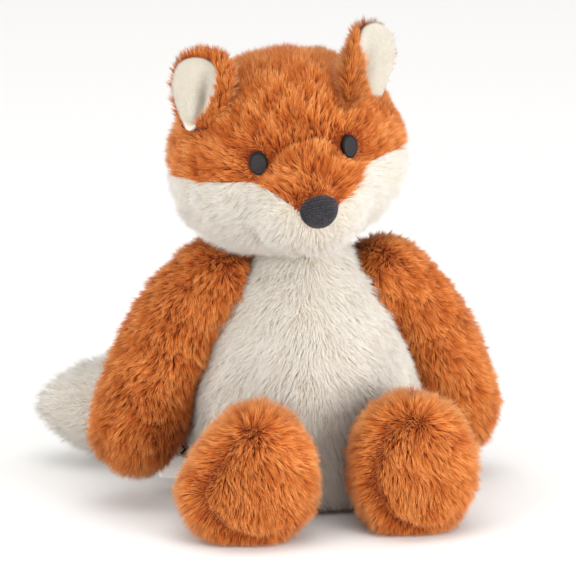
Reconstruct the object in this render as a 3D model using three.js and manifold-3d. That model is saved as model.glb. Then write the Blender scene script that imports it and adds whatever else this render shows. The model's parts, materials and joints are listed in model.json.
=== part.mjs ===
// Sitting plush fox: sewn panels round loose stuffing, with a head, two arms, two legs and a tail
// that each turn on their own seam. Millimetres, +Z up. The fox faces -Y, and the origin is the
// middle of its flat seat on the floor. "left" and "right" are the fox's own, so left is +X.
import * as THREE from 'three';
import { mergeVertices } from 'three/addons/utils/BufferGeometryUtils.js';
import Module from 'manifold-3d';

const wasm = await Module();
wasm.setup();
const degree = Math.PI / 180;

// Cloth and stuffing. The pile stands on the outside of each panel, and panelThickness is its
// backing with the pile pressed down.
const panelThickness = 3;
const seamGap = 0.35;
const stuffingGap = 0.4;
const jointGap = 0.45;
const seamLift = 0.5;
const roundSides = 14;
const bodySides = 18;
const ballSides = 7;
const roomSides = 8;

// Body.
const torsoHeight = 150;
const torsoWidth = 123;
const torsoDepth = 102;
const bellySeamBack = 6;
const pouchWidth = 62;
const pouchDepth = 46;
const pouchHeight = 24;
const pouchLift = 5;

// Neck: a dome on the body, a wad of stuffing, a sewn band, and the socket in the head's underside.
const neckHeight = 140;
const neckForward = -3;
const neckRadius = 25;
const neckWadThickness = 4;
const neckBandThickness = 2.5;
const neckWadAngle = 52 * degree;
const neckBandAngle = 48 * degree;
const neckSteps = 4;

// Head.
const headHeight = 103.5;
const headWidth = 124;
const headDepth = 106;
const headSide = -2.5;
const headForward = -5;
const headRise = 57.25;
const headTilt = -7.5 * degree;
const headTurn = 4 * degree;
const headBackSeam = 14;
const muzzleWidth = 64;
const muzzleHeight = 60;
const muzzleDepth = 48;
const muzzleForward = -40;
const muzzleDrop = -16;
const noseWidth = 20;
const noseHeight = 17.5;
const noseDepth = 13;
const noseForward = -62;
const noseDrop = -20;
const eyeWidth = 10;
const eyeHeight = 13;
const eyeThickness = 4;
const eyeSpacing = 51;
const eyeRise = 8.5;
const eyeTurn = 20 * degree;

// Ears.
const earWidth = 33;
const earHeight = 43;
const earThickness = 7;
const earRim = 3.2;
const liningThickness = 2.4;
const liningInset = 1.4;
const earRootRadius = 4.2;
const earRootLength = 18;
const leftEarSide = 44;
const rightEarSide = 52;
const earForward = -18;
const leftEarRise = 19.5;
const rightEarRise = 24.5;
const earTurn = 36 * degree;
const earLeanToLeft = 14 * degree;
const earBack = 8 * degree;
const earFoldAngle = 15 * degree;

// Arms.
const armLength = 116;
const armGirth = 47;
const shoulderRadius = 20;
const leftShoulderSide = 45;
const rightShoulderSide = 47;
const shoulderBack = 2;
const leftShoulderHeight = 121;
const rightShoulderHeight = 124;
const leftArmSplay = 26.5 * degree;
const rightArmSplay = 29.5 * degree;
const leftArmSwing = -13 * degree;
const rightArmSwing = 9 * degree;
const armholeRadius = 11;

// Legs.
const leftLegLength = 68;
const rightLegLength = 75;
const leftFootWidth = 62;
const rightFootWidth = 69;
const footHeight = 74;
const hipRadius = 24;
const hipSide = 44;
const hipForward = -40;
const hipHeight = 29;
const leftLegSplay = 3.5 * degree;
const rightLegSplay = 1 * degree;
const legRise = 7 * degree;
const soleDepth = 10;
const leghole = 12;
const legLowAngle = -12 * degree;
const legHighAngle = 20 * degree;

// Tail.
const tailLength = 123;
const tailGirth = 53;
const tailRootRadius = 17;
const tailSide = -12;
const tailBack = 47;
const tailHeight = 32;
const tailAim = 74 * degree;
const tailTipSeam = 44;
const tailholeRadius = 10;
const tailSwingAngle = 18 * degree;

// Care label and the tie that holds a tag, both in the side seam beside the right leg.
const labelWidth = 15;
const labelHeight = 13;
const labelThickness = 1;
const labelLift = 8;
const tieLoopRadius = 2.1;
const tieCordRadius = 0.6;
const tieKnotRadius = 1.3;
const tieLift = 28;
const tieSteps = 8;
const tieSides = 5;

// Outlines, each row the share of the length, the share of the girth, and the shares of the width
// and of the depth by which the ring moves to the side and to the back.
const torsoShares = [
  [0, 0.8, 0, -0.02], [0.06, 0.93, 0, -0.03], [0.16, 0.99, 0, -0.04], [0.28, 1, 0, -0.045],
  [0.42, 0.965, 0, -0.045], [0.56, 0.865, 0, -0.04], [0.7, 0.73, 0, -0.035], [0.8, 0.6, 0, -0.03],
  [0.88, 0.45, 0, -0.03], [0.94, 0.34, 0, -0.03], [0.98, 0.2, 0, -0.03], [1, 0, 0, -0.03],
];
const headShares = [
  [0, 0], [0.025, 0.36], [0.09, 0.63], [0.19, 0.83], [0.31, 0.96], [0.43, 1], [0.56, 0.985],
  [0.69, 0.905], [0.81, 0.76], [0.91, 0.55], [0.975, 0.3], [1, 0],
];
const headBelowShare = 0.505;
const armShares = [
  [0, 0], [0.025, 0.43], [0.075, 0.73], [0.146, 0.9], [0.28, 0.93, 0.1], [0.43, 0.94, 0.15],
  [0.6, 0.97, 0.11], [0.76, 1, 0.04], [0.88, 0.93], [0.95, 0.68], [0.988, 0.36], [1, 0],
];
const legShares = [
  [0, 0], [0.03, 0.345], [0.09, 0.55], [0.197, 0.65], [0.33, 0.69], [0.47, 0.8], [0.61, 0.94],
  [0.74, 1], [0.86, 0.97], [0.94, 0.83], [0.985, 0.56], [1, 0],
];
const tailShares = [
  [0, 0], [0.03, 0.4], [0.08, 0.57], [0.13, 0.63], [0.25, 0.74, 0.14], [0.4, 0.91, 0.2],
  [0.55, 1, 0.19], [0.7, 0.95, 0.13], [0.82, 0.78, 0.07], [0.91, 0.54, 0.03], [0.97, 0.28], [1, 0],
];
const earShares = [
  [-0.27, 0], [-0.33, 0.16], [-0.46, 0.42], [-0.5, 0.64], [-0.43, 0.83], [-0.25, 0.96], [0, 1],
  [0.25, 0.96], [0.43, 0.83], [0.5, 0.64], [0.46, 0.42], [0.33, 0.16], [0.27, 0],
];
// The edge of the white cheek on the face, outward from the nose: shares of the head's half width
// and half height.
const cheekEdgeShares = [[0, -0.52], [0.14, -0.36], [0.3, -0.2], [0.45, -0.02], [0.56, 0.01], [1.3, -0.05]];

function pileCloth(color, roughness = 0.95) {
  return new THREE.MeshStandardMaterial({ color, roughness, metalness: 0 });
}
const orangePile = pileCloth(0xc8692d);
const creamPile = pileCloth(0xefede6);
const liningPile = pileCloth(0xe6e3d8, 0.9);
const noseCloth = pileCloth(0x4b484d, 0.85);
const eyeThread = pileCloth(0x3c383c, 0.6);
const fibreFill = pileCloth(0xf4f3ef, 1);
const pouchCloth = pileCloth(0xd9d4c6, 0.9);
const satin = pileCloth(0xf6f5f2, 0.4);
const tieCord = pileCloth(0x1c1b1c, 0.5);

// A closed geometry as a solid that can be joined and cut.
function toSolid(geometry) {
  const bare = geometry.clone();
  bare.deleteAttribute('normal');
  bare.deleteAttribute('uv');
  const merged = mergeVertices(bare);
  return new wasm.Manifold(new wasm.Mesh({
    numProp: 3,
    vertProperties: new Float32Array(merged.attributes.position.array),
    triVerts: new Uint32Array(merged.index.array),
  }));
}

function toMesh(name, solid, material) {
  const { vertProperties, triVerts } = solid.getMesh();
  const geometry = new THREE.BufferGeometry();
  geometry.setAttribute('position', new THREE.BufferAttribute(vertProperties, 3));
  geometry.setIndex(new THREE.BufferAttribute(triVerts, 1));
  geometry.computeVertexNormals();
  const mesh = new THREE.Mesh(geometry, material);
  mesh.name = name;
  return mesh;
}

// The points of one ring of a swollen form, or its single point where the form closes.
function ringPoints([along, girth, side = 0, back = 0], form, grow) {
  const width = form.width + 2 * grow;
  const depth = form.depth + 2 * grow;
  const height = form.from - grow + along * (form.length + 2 * grow);
  const count = girth > 0 ? form.sides : 1;
  return Array.from({ length: count }, (unused, step) => {
    const angle = (2 * Math.PI * step) / form.sides;
    return [
      side * form.width + (girth * width * Math.cos(angle)) / 2,
      back * form.depth + (girth * depth * Math.sin(angle)) / 2,
      height,
    ];
  });
}

// A body that swells and tapers along +Z: rings of points, closed at both ends.
function swollenGeometry(form, grow) {
  const rings = form.shares.map((share) => ringPoints(share, form, grow));
  if (rings[0].length > 1) {
    const [along, , side, back] = form.shares[0];
    rings.unshift(ringPoints([along, 0, side, back], form, grow));
  }
  const starts = rings.map((ring, row) => rings.slice(0, row).flat().length);
  const faces = [];
  for (let row = 0; row + 1 < rings.length; row += 1) {
    for (let step = 0; step < form.sides; step += 1) {
      const next = (step + 1) % form.sides;
      const low = (at) => starts[row] + (rings[row].length > 1 ? at : 0);
      const high = (at) => starts[row + 1] + (rings[row + 1].length > 1 ? at : 0);
      if (rings[row].length > 1) faces.push(low(step), low(next), high(next));
      if (rings[row + 1].length > 1) faces.push(low(step), high(next), high(step));
    }
  }
  const geometry = new THREE.BufferGeometry();
  geometry.setAttribute('position', new THREE.Float32BufferAttribute(rings.flat(2), 3));
  geometry.setIndex(faces);
  return geometry;
}

function swollen(form, grow = 0) {
  return toSolid(swollenGeometry(form, grow));
}

// The room that a limb needs in its neighbour: a coarser form whose flats stay outside the limb's.
function limbRoom(form, frame) {
  const wider = 1 / Math.cos(Math.PI / roomSides);
  const shares = form.shares.map(([along, girth, ...shift]) => [along, girth * wider, ...shift]);
  return placed(swollen({ ...form, sides: roomSides, shares }, jointGap), frame);
}

function ball(radius, centre, sides = ballSides) {
  const geometry = new THREE.SphereGeometry(radius, 2 * sides, sides);
  return toSolid(geometry.translate(centre.x, centre.y, centre.z));
}

// A faceted ball whose flats, and not only its corners, stay outside the radius.
function socketBall(radius, centre) {
  return ball(radius / Math.cos(Math.PI / (2 * ballSides)) ** 2, centre);
}

function egg(width, depth, height, centre) {
  const geometry = new THREE.SphereGeometry(1, roundSides, roundSides / 2);
  geometry.scale(width / 2, depth / 2, height / 2);
  return toSolid(geometry.translate(centre.x, centre.y, centre.z));
}

// A box from one corner to the other.
function block(low, high) {
  const size = high.clone().sub(low);
  const centre = low.clone().add(high).divideScalar(2);
  const geometry = new THREE.BoxGeometry(size.x, size.y, size.z);
  return toSolid(geometry.translate(centre.x, centre.y, centre.z));
}

const reach = 2 * (torsoHeight + headHeight + armLength);
const span = (x0, y0, z0, x1, y1, z1) => block(new THREE.Vector3(x0, y0, z0), new THREE.Vector3(x1, y1, z1));
const floorBlock = span(-reach, -reach, -reach, reach, reach, 0);

function placed(solid, frame) {
  frame.updateWorldMatrix(true, false);
  return solid.transform(Array.from(frame.matrixWorld.elements));
}

function intoFrame(solid, frame) {
  frame.updateWorldMatrix(true, false);
  return solid.transform(Array.from(frame.matrixWorld.clone().invert().elements));
}

// A group at a place with its Z axis along a limb and its X axis turned outward.
function limbFrame(place, direction, outward) {
  const along = direction.clone().normalize();
  const out = outward.clone().addScaledVector(along, -outward.dot(along)).normalize();
  const across = along.clone().cross(out);
  const frame = new THREE.Group();
  frame.position.copy(place);
  frame.quaternion.setFromRotationMatrix(new THREE.Matrix4().makeBasis(out, across, along));
  return frame;
}

// The room that a solid sweeps as it turns about an axis through a centre.
function swept(solid, centre, axis, angles) {
  const turned = angles.map((angle) => {
    const turn = new THREE.Matrix4().makeTranslation(centre.x, centre.y, centre.z)
      .multiply(new THREE.Matrix4().makeRotationAxis(axis, angle))
      .multiply(new THREE.Matrix4().makeTranslation(-centre.x, -centre.y, -centre.z));
    return solid.transform(Array.from(turn.elements));
  });
  return turned.reduce((sum, next) => sum.add(next));
}

function spread(low, high, count) {
  return Array.from({ length: count }, (unused, step) => low + ((high - low) * step) / (count - 1));
}

const fox = new THREE.Group();
fox.name = 'plush_fox';

// Frames of everything that turns.
const neckPlace = new THREE.Vector3(0, neckForward, neckHeight);
const neckSocket = neckRadius + neckWadThickness + neckBandThickness + 3 * jointGap;

const headFrame = new THREE.Group();
headFrame.name = 'head_frame';
headFrame.position.copy(neckPlace);
headFrame.rotation.set(0, headTilt, headTurn, 'ZYX');
const headCentre = new THREE.Group();
headCentre.position.set(headSide, headForward, headRise);
headFrame.add(headCentre);
fox.add(headFrame);

function armFrame({ side, shoulder, splay, swing }) {
  const place = new THREE.Vector3(side * shoulder.side, shoulderBack, shoulder.height);
  const direction = new THREE.Vector3(side * Math.sin(splay), 0, -Math.cos(splay));
  direction.applyAxisAngle(new THREE.Vector3(1, 0, 0), -swing);
  return limbFrame(place, direction, new THREE.Vector3(side, 0, 0));
}

function legFrame(side, splay) {
  const place = new THREE.Vector3(side * hipSide, hipForward, hipHeight);
  const flat = Math.cos(legRise);
  const direction = new THREE.Vector3(
    side * Math.sin(splay) * flat,
    -Math.cos(splay) * flat,
    Math.sin(legRise),
  );
  return limbFrame(place, direction, new THREE.Vector3(side, 0, 0));
}

function legShape(length, width) {
  return {
    shares: legShares,
    length: length + hipRadius,
    width,
    depth: footHeight,
    from: -hipRadius,
    sides: roundSides,
  };
}

const sides = [
  {
    name: 'left',
    side: 1,
    arm: armFrame({
      side: 1,
      shoulder: { side: leftShoulderSide, height: leftShoulderHeight },
      splay: leftArmSplay,
      swing: leftArmSwing,
    }),
    leg: legFrame(1, leftLegSplay),
    legForm: legShape(leftLegLength, leftFootWidth),
    earPlace: new THREE.Vector3(leftEarSide, earForward, leftEarRise),
  },
  {
    name: 'right',
    side: -1,
    arm: armFrame({
      side: -1,
      shoulder: { side: rightShoulderSide, height: rightShoulderHeight },
      splay: rightArmSplay,
      swing: rightArmSwing,
    }),
    leg: legFrame(-1, rightLegSplay),
    legForm: legShape(rightLegLength, rightFootWidth),
    earPlace: new THREE.Vector3(-rightEarSide, earForward, rightEarRise),
  },
];
sides.forEach(({ name, arm, leg }) => {
  arm.name = `arm_${name}_frame`;
  leg.name = `leg_${name}_frame`;
  fox.add(arm, leg);
});

const tailPlace = new THREE.Vector3(tailSide, tailBack, tailHeight);
const tailDirection = new THREE.Vector3(-Math.sin(tailAim), Math.cos(tailAim), 0);
const tailFrame = limbFrame(tailPlace, tailDirection, new THREE.Vector3(0, 1, 0));
tailFrame.name = 'tail_frame';
fox.add(tailFrame);

// Forms.
const torsoForm = {
  shares: torsoShares, length: torsoHeight, width: torsoWidth, depth: torsoDepth, from: 0, sides: bodySides,
};
const headForm = {
  shares: headShares,
  length: headHeight,
  width: headWidth,
  depth: headDepth,
  from: -headHeight * headBelowShare,
  sides: bodySides,
};
const armForm = {
  shares: armShares,
  length: armLength + shoulderRadius,
  width: armGirth,
  depth: armGirth,
  from: -shoulderRadius,
  sides: roundSides,
};
const tailForm = {
  shares: tailShares,
  length: tailLength + tailRootRadius,
  width: tailGirth,
  depth: tailGirth,
  from: -tailRootRadius,
  sides: roundSides,
};

// A limb's own solids: the skin is open where it is sewn on, and the stuffing fills it.
function limbSolids(form, frame, rootRadius, holeRadius) {
  const floor = intoFrame(floorBlock, frame);
  const innerFloor = floor.translate(new THREE.Vector3(0, 0, panelThickness)
    .applyQuaternion(frame.quaternion.clone().invert()).toArray());
  const stuffingFloor = floor.translate(new THREE.Vector3(0, 0, panelThickness + stuffingGap)
    .applyQuaternion(frame.quaternion.clone().invert()).toArray());
  const hole = new THREE.CylinderGeometry(holeRadius, holeRadius, rootRadius, roundSides);
  hole.rotateX(Math.PI / 2).translate(0, 0, -rootRadius);
  return {
    skin: swollen(form).subtract(floor)
      .subtract(swollen(form, -panelThickness).subtract(innerFloor))
      .subtract(toSolid(hole)),
    stuffing: swollen(form, -panelThickness - stuffingGap).subtract(stuffingFloor),
  };
}

// Torso: the outer form with its neck dome, less every socket.
function torsoCut(solid) {
  let cut = solid;
  for (const { arm, leg, legForm } of sides) {
    cut = cut.subtract(socketBall(shoulderRadius + jointGap, arm.position));
    cut = cut.subtract(socketBall(hipRadius + jointGap, leg.position));
    cut = cut.subtract(limbRoom(armForm, arm));
    const legAngles = spread(-legHighAngle, -legLowAngle, 5);
    const legAxis = new THREE.Vector3(1, 0, 0);
    cut = cut.subtract(swept(limbRoom(legForm, leg), leg.position, legAxis, legAngles));
  }
  cut = cut.subtract(socketBall(tailRootRadius + jointGap, tailPlace));
  const tailAngles = [-tailSwingAngle, 0, tailSwingAngle];
  const tailAxis = new THREE.Vector3(0, 0, 1);
  return cut.subtract(swept(limbRoom(tailForm, tailFrame), tailPlace, tailAxis, tailAngles));
}

function makeTorso() {
  const dome = (grow) => ball(neckRadius + grow, neckPlace);
  const outer = swollen(torsoForm).add(dome(0));
  const inner = swollen(torsoForm, -panelThickness).add(dome(-panelThickness));
  const shell = torsoCut(outer.subtract(inner));
  const seam = bellySeamBack;
  const seatTop = panelThickness + seamLift;
  const front = span(-reach, -reach, seatTop, reach, seam, reach);
  const grownFront = span(-reach, -reach, seatTop - seamGap, reach, seam + seamGap, reach);
  const belly = shell.intersect(front);
  const half = seamGap / 2;
  fox.add(toMesh('torso_back', shell.subtract(grownFront), orangePile));
  fox.add(toMesh('belly_left', belly.intersect(span(half, -reach, 0, reach, reach, reach)), creamPile));
  fox.add(toMesh('belly_right', belly.intersect(span(-reach, -reach, 0, -half, reach, reach)), creamPile));

  const pouchCentre = new THREE.Vector3(0, 0, pouchLift + pouchHeight / 2);
  const pouch = egg(pouchWidth, pouchDepth, pouchHeight, pouchCentre);
  const pouchRoom = egg(
    pouchWidth + 2 * stuffingGap,
    pouchDepth + 2 * stuffingGap,
    pouchHeight + 2 * stuffingGap,
    pouchCentre,
  );
  const pouchWell = span(-pouchWidth / 4, -pouchDepth / 4, 0, pouchWidth / 4, pouchDepth / 4, pouchCentre.z);
  const filling = swollen(torsoForm, -panelThickness - stuffingGap)
    .add(dome(-panelThickness - stuffingGap));
  fox.add(toMesh('torso_stuffing', torsoCut(filling).subtract(pouchRoom).subtract(pouchWell), fibreFill));
  fox.add(toMesh('bean_pouch', pouch, pouchCloth));
}

// A cap of a spherical layer round the neck's centre.
function neckCap(inner, outer, angle) {
  const point = (radius, share) => new THREE.Vector2(
    share > 0 ? radius * Math.sin(share * angle) : 0,
    radius * Math.cos(share * angle),
  );
  const shares = spread(0, 1, neckSteps + 1);
  const profile = [
    ...shares.map((share) => point(inner, share)),
    ...shares.map((share) => point(outer, share)).reverse(),
  ];
  const geometry = new THREE.LatheGeometry(profile, roundSides);
  return toSolid(geometry.rotateX(Math.PI / 2));
}

function makeNeck() {
  const wadInner = neckRadius + jointGap;
  const bandInner = wadInner + neckWadThickness + jointGap;
  const wad = toMesh('neck_wadding', neckCap(wadInner, wadInner + neckWadThickness, neckWadAngle), fibreFill);
  wad.position.copy(neckPlace);
  fox.add(wad);
  const band = neckCap(bandInner, bandInner + neckBandThickness, neckBandAngle);
  headFrame.add(toMesh('neck_band', band, orangePile));
}

// Head form with its muzzle, in the frame of the head's centre.
function headSolid(grow = 0) {
  const muzzle = egg(
    muzzleWidth + 2 * grow,
    muzzleDepth + 2 * grow,
    muzzleHeight + 2 * grow,
    new THREE.Vector3(0, muzzleForward, muzzleDrop),
  );
  return swollen(headForm, grow).add(muzzle);
}

// The ear's frame: X runs along the line that it folds on, Z up the ear, and -Y is its open side.
function earFrame({ side, earPlace }) {
  const frame = new THREE.Group();
  frame.position.copy(earPlace);
  const turn = new THREE.Quaternion().setFromAxisAngle(new THREE.Vector3(0, 0, 1), side * earTurn);
  const lean = new THREE.Quaternion().setFromAxisAngle(new THREE.Vector3(0, 1, 0), earLeanToLeft);
  const back = new THREE.Quaternion().setFromAxisAngle(new THREE.Vector3(1, 0, 0), -earBack);
  frame.quaternion.copy(lean).multiply(turn).multiply(back);
  return frame;
}

function earOutline(inset) {
  const width = earWidth - 2 * inset;
  const height = earHeight - 2 * inset;
  const points = earShares.map(([across, up]) => new THREE.Vector2(across * width, inset + up * height));
  return new THREE.Shape(points);
}

function earPlate(inset, front, back) {
  const geometry = new THREE.ExtrudeGeometry(earOutline(inset), { depth: back - front, bevelEnabled: false });
  return toSolid(geometry.rotateX(Math.PI / 2).translate(0, back, 0));
}

// A round bar along the ear's fold line.
function earRoot(grow) {
  const radius = earRootRadius + grow;
  const geometry = new THREE.CylinderGeometry(radius, radius, earRootLength + 2 * grow, roundSides);
  return toSolid(geometry.rotateZ(Math.PI / 2));
}

function makeEar({ name, side }, frame) {
  const half = earThickness / 2;
  const recess = earPlate(earRim, -half - seamGap, -half + liningInset + liningThickness + seamGap);
  const outer = earPlate(0, -half, half).subtract(recess).add(earRoot(0));
  const lining = earPlate(earRim + seamGap, -half + liningInset, -half + liningInset + liningThickness)
    .subtract(earRoot(seamGap));
  frame.add(toMesh(`ear_${name}_outer`, outer, orangePile));
  frame.add(toMesh(`ear_${name}_lining`, lining, liningPile));
}

// The slot in the head that an ear is sewn into, wide enough for it to fold.
function earRoom(frame) {
  const half = earThickness / 2 + jointGap;
  const still = earPlate(-jointGap, -half, half).add(earRoot(jointGap));
  const turned = swept(still, new THREE.Vector3(), new THREE.Vector3(1, 0, 0), [-earFoldAngle, 0, earFoldAngle]);
  return fromHead(turned, frame);
}

function fromHead(solid, frame) {
  frame.updateMatrix();
  return solid.transform(Array.from(frame.matrix.elements));
}

// The room in front of the face that the white cheek on one side takes.
function cheekRoom(side, drop) {
  const edge = cheekEdgeShares.map(([across, up]) => new THREE.Vector2(
    (side * across * headWidth) / 2,
    (up * headHeight) / 2 - drop,
  ));
  edge[0].x = side * (seamGap / 2);
  const outerX = edge.at(-1).x;
  const below = -headHeight;
  const points = [...edge, new THREE.Vector2(outerX, below), new THREE.Vector2(edge[0].x, below)];
  const geometry = new THREE.ExtrudeGeometry(new THREE.Shape(points), { depth: reach, bevelEnabled: false });
  return toSolid(geometry.rotateX(Math.PI / 2).translate(0, headBackSeam, 0));
}

function eyeSolid(side) {
  const across = (side * eyeSpacing) / 2;
  const place = new THREE.Vector3(across, 0, eyeRise);
  const roundness = 1 - (2 * across / headWidth) ** 2 - (2 * eyeRise / headHeight) ** 2;
  place.y = (-headDepth / 2) * Math.sqrt(roundness);
  const geometry = new THREE.SphereGeometry(1, roundSides, roundSides / 2);
  geometry.scale(eyeWidth / 2, eyeThickness / 2, eyeHeight / 2).rotateZ(side * eyeTurn);
  return toSolid(geometry.translate(place.x, place.y, place.z)).subtract(headSolid(seamGap));
}

function makeHead() {
  const socket = socketBall(neckSocket, new THREE.Vector3(-headSide, -headForward, -headRise));
  const ears = sides.map((entry) => ({ entry, frame: earFrame(entry) }));
  let shell = headSolid().subtract(headSolid(-panelThickness)).subtract(socket);
  let filling = headSolid(-panelThickness - stuffingGap).subtract(socket);
  for (const { frame } of ears) {
    shell = shell.subtract(earRoom(frame));
    filling = filling.subtract(earRoom(frame));
  }
  const back = span(-reach, headBackSeam, -reach, reach, reach, reach);
  const front = span(-reach, -reach, -reach, reach, headBackSeam - seamGap, reach);
  headCentre.add(toMesh('head_back', shell.intersect(back), orangePile));
  const drop = 1.5 * seamGap;
  let face = shell.intersect(front);
  for (const { name, side } of sides) {
    const cheek = shell.intersect(front).intersect(cheekRoom(side, drop));
    face = face.subtract(cheekRoom(side, 0));
    headCentre.add(toMesh(`cheek_${name}`, cheek, creamPile));
    headCentre.add(toMesh(`eye_${name}`, eyeSolid(side), eyeThread));
  }
  const chin = span(-seamGap, -reach, -reach, seamGap, headBackSeam, muzzleDrop - muzzleHeight / 4);
  headCentre.add(toMesh('head_face', face.subtract(chin), orangePile));
  headCentre.add(toMesh('head_stuffing', filling, fibreFill));
  const nose = egg(noseWidth, noseDepth, noseHeight, new THREE.Vector3(0, noseForward, noseDrop));
  headCentre.add(toMesh('nose', nose.subtract(headSolid(seamGap)), noseCloth));
  for (const { entry, frame } of ears) {
    frame.name = `ear_${entry.name}_frame`;
    headCentre.add(frame);
    makeEar(entry, frame);
  }
}

function makeArm({ name, arm }) {
  const { skin, stuffing } = limbSolids(armForm, arm, shoulderRadius, armholeRadius);
  arm.add(toMesh(`arm_${name}_skin`, skin, orangePile));
  arm.add(toMesh(`arm_${name}_stuffing`, stuffing, fibreFill));
}

// The leg's skin is a sleeve closed by the sole, a panel across the front of the foot.
function makeLeg({ name, leg, legForm }) {
  const { skin, stuffing } = limbSolids(legForm, leg, hipRadius, leghole);
  const seam = legForm.length - hipRadius - soleDepth;
  const soleRoom = span(-reach, -reach, seam + seamGap, reach, reach, reach);
  const sleeveRoom = span(-reach, -reach, -reach, reach, reach, seam);
  leg.add(toMesh(`leg_${name}_skin`, skin.intersect(sleeveRoom), orangePile));
  leg.add(toMesh(`leg_${name}_sole`, skin.intersect(soleRoom), orangePile));
  leg.add(toMesh(`leg_${name}_stuffing`, stuffing, fibreFill));
}

function makeTail() {
  const { skin, stuffing } = limbSolids(tailForm, tailFrame, tailRootRadius, tailholeRadius);
  const tipRoom = span(-reach, -reach, tailTipSeam + seamGap, reach, reach, reach);
  const baseRoom = span(-reach, -reach, -reach, reach, reach, tailTipSeam);
  tailFrame.add(toMesh('tail_base', skin.intersect(baseRoom), orangePile));
  tailFrame.add(toMesh('tail_tip', skin.intersect(tipRoom), creamPile));
  tailFrame.add(toMesh('tail_stuffing', stuffing, fibreFill));
}

// A folded satin label and a small tied cord, sewn into the right side seam.
function makeLabel() {
  const seamY = bellySeamBack;
  const rim = torsoWidth / 2;
  const plate = span(
    -rim - labelWidth, seamY - labelThickness / 2, labelLift,
    -rim + panelThickness, seamY + labelThickness / 2, labelLift + labelHeight,
  );
  fox.add(toMesh('care_label', plate.subtract(swollen(torsoForm, seamGap)), satin));

  const loop = (turn) => {
    const geometry = new THREE.TorusGeometry(tieLoopRadius, tieCordRadius, tieSides, tieSteps);
    geometry.translate(tieLoopRadius, 0, 0).rotateY(Math.PI / 2).rotateX(turn);
    return toSolid(geometry);
  };
  const spreadAngle = 25 * degree;
  const knot = ball(tieKnotRadius, new THREE.Vector3(0, 0, 0), tieSides);
  const tie = knot.add(loop(Math.PI / 2 + spreadAngle)).add(loop(-Math.PI / 2 + spreadAngle));
  const seamSide = rim * Math.sqrt(1 - (2 * seamY / torsoDepth) ** 2);
  const place = [-seamSide, seamY, tieLift];
  fox.add(toMesh('tag_tie', tie.translate(place).subtract(swollen(torsoForm, seamGap)), tieCord));
}

makeTorso();
makeNeck();
makeHead();
sides.forEach(makeArm);
sides.forEach(makeLeg);
makeTail();
makeLabel();

export default fox;
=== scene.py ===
# %% [markdown]
# A sitting plush fox. The frame holds its sewn panels, stuffing and joints as plain solids. This
# lesson dresses them: each panel becomes a cloth backing with thousands of slim hairs of brushed
# pile rooted in it, and the eyes, nose, ear linings, label and tie are made as the small sewn
# pieces that they are. Everything is in metres, at the place that the frame gives.

# %% Load the frame and keep its box
import json
import bpy
import numpy as np
from mathutils import Matrix


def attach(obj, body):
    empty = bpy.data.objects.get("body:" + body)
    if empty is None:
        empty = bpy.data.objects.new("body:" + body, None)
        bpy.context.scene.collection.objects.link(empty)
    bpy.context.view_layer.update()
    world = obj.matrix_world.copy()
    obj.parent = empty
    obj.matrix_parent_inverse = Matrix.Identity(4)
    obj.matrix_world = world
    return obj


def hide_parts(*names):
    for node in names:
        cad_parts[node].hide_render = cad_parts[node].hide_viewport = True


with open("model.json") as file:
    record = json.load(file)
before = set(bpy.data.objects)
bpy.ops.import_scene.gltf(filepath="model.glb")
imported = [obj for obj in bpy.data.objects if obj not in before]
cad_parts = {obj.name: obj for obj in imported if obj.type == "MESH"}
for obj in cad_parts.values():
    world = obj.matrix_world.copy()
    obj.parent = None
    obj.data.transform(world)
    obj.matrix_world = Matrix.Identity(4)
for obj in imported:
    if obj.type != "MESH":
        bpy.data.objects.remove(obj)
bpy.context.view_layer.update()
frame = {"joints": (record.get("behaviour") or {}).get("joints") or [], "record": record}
MM = 0.001
DEG = np.pi / 180
SIDES = {"left": 1, "right": -1}
rng = np.random.default_rng(7)


def mm(*values):
    """Lengths written in millimetres, times a thousandth: an array in metres."""
    return np.array(values) * MM


# %% [markdown]
# The camera stands where the photographer stood: a little to the viewer's left of the fox's face
# and 15 degrees above it, far away behind a long lens, which keeps the feet from looking large.
# It is set first, from two angles and from the scale of the picture in millimetres per pixel.

# %% Camera
AZIMUTH, ELEVATION = -9 * DEG, 15 * DEG
PIXEL = 0.55 * MM
FRAME_PIXELS = 576
ORIGIN_PIXEL = np.array([302.0, 490.0])
LENS, SENSOR = 800.0, 36.0
FAR_CLIP = 20
right = np.array([np.cos(AZIMUTH), np.sin(AZIMUTH), 0.0])
level_back = np.array([np.sin(AZIMUTH), -np.cos(AZIMUTH), 0.0])
back = level_back * np.cos(ELEVATION) + np.array([0, 0, np.sin(ELEVATION)])
up = np.cross(back, right)
off_centre = (FRAME_PIXELS / 2 - ORIGIN_PIXEL) * PIXEL
camera_away = FRAME_PIXELS * PIXEL * LENS / SENSOR
target = right * off_centre[0] - up * off_centre[1]


def look_matrix(place, axes):
    """Four by four matrix whose columns are the three axes and the place."""
    matrix = np.eye(4)
    matrix[:3, :3] = np.array(axes).T
    matrix[:3, 3] = place
    return matrix


camera = bpy.data.objects.new("camera", bpy.data.cameras.new("camera"))
camera.data.lens = LENS
camera.data.sensor_width = SENSOR
camera.data.clip_end = FAR_CLIP
camera.matrix_world = Matrix(look_matrix(target + back * camera_away, (right, up, back)).tolist())
bpy.context.collection.objects.link(camera)
bpy.context.scene.camera = camera
print("camera", round(camera_away, 3), "m away")

# %% [markdown]
# The studio has three soft square lamps: the key lamp in front on the viewer's right, a weaker one
# on the left, and one overhead that also lights the paper behind the fox. Round them is a white
# surround, which gives a little less light than it shows to the camera and in reflections.

# %% Lamps
LAMPS = [
    ("key_lamp", (0.95, -1.4, 0.42), 0.9, 23.5),
    ("fill_lamp", (-1.3, -0.9, 0.5), 1.1, 12.0),
    ("top_lamp", (-0.1, -0.2, 1.6), 1.2, 6.6),
]
CHEST = np.array([0, 0, 0.12])
SURROUND = 0.84


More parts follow.
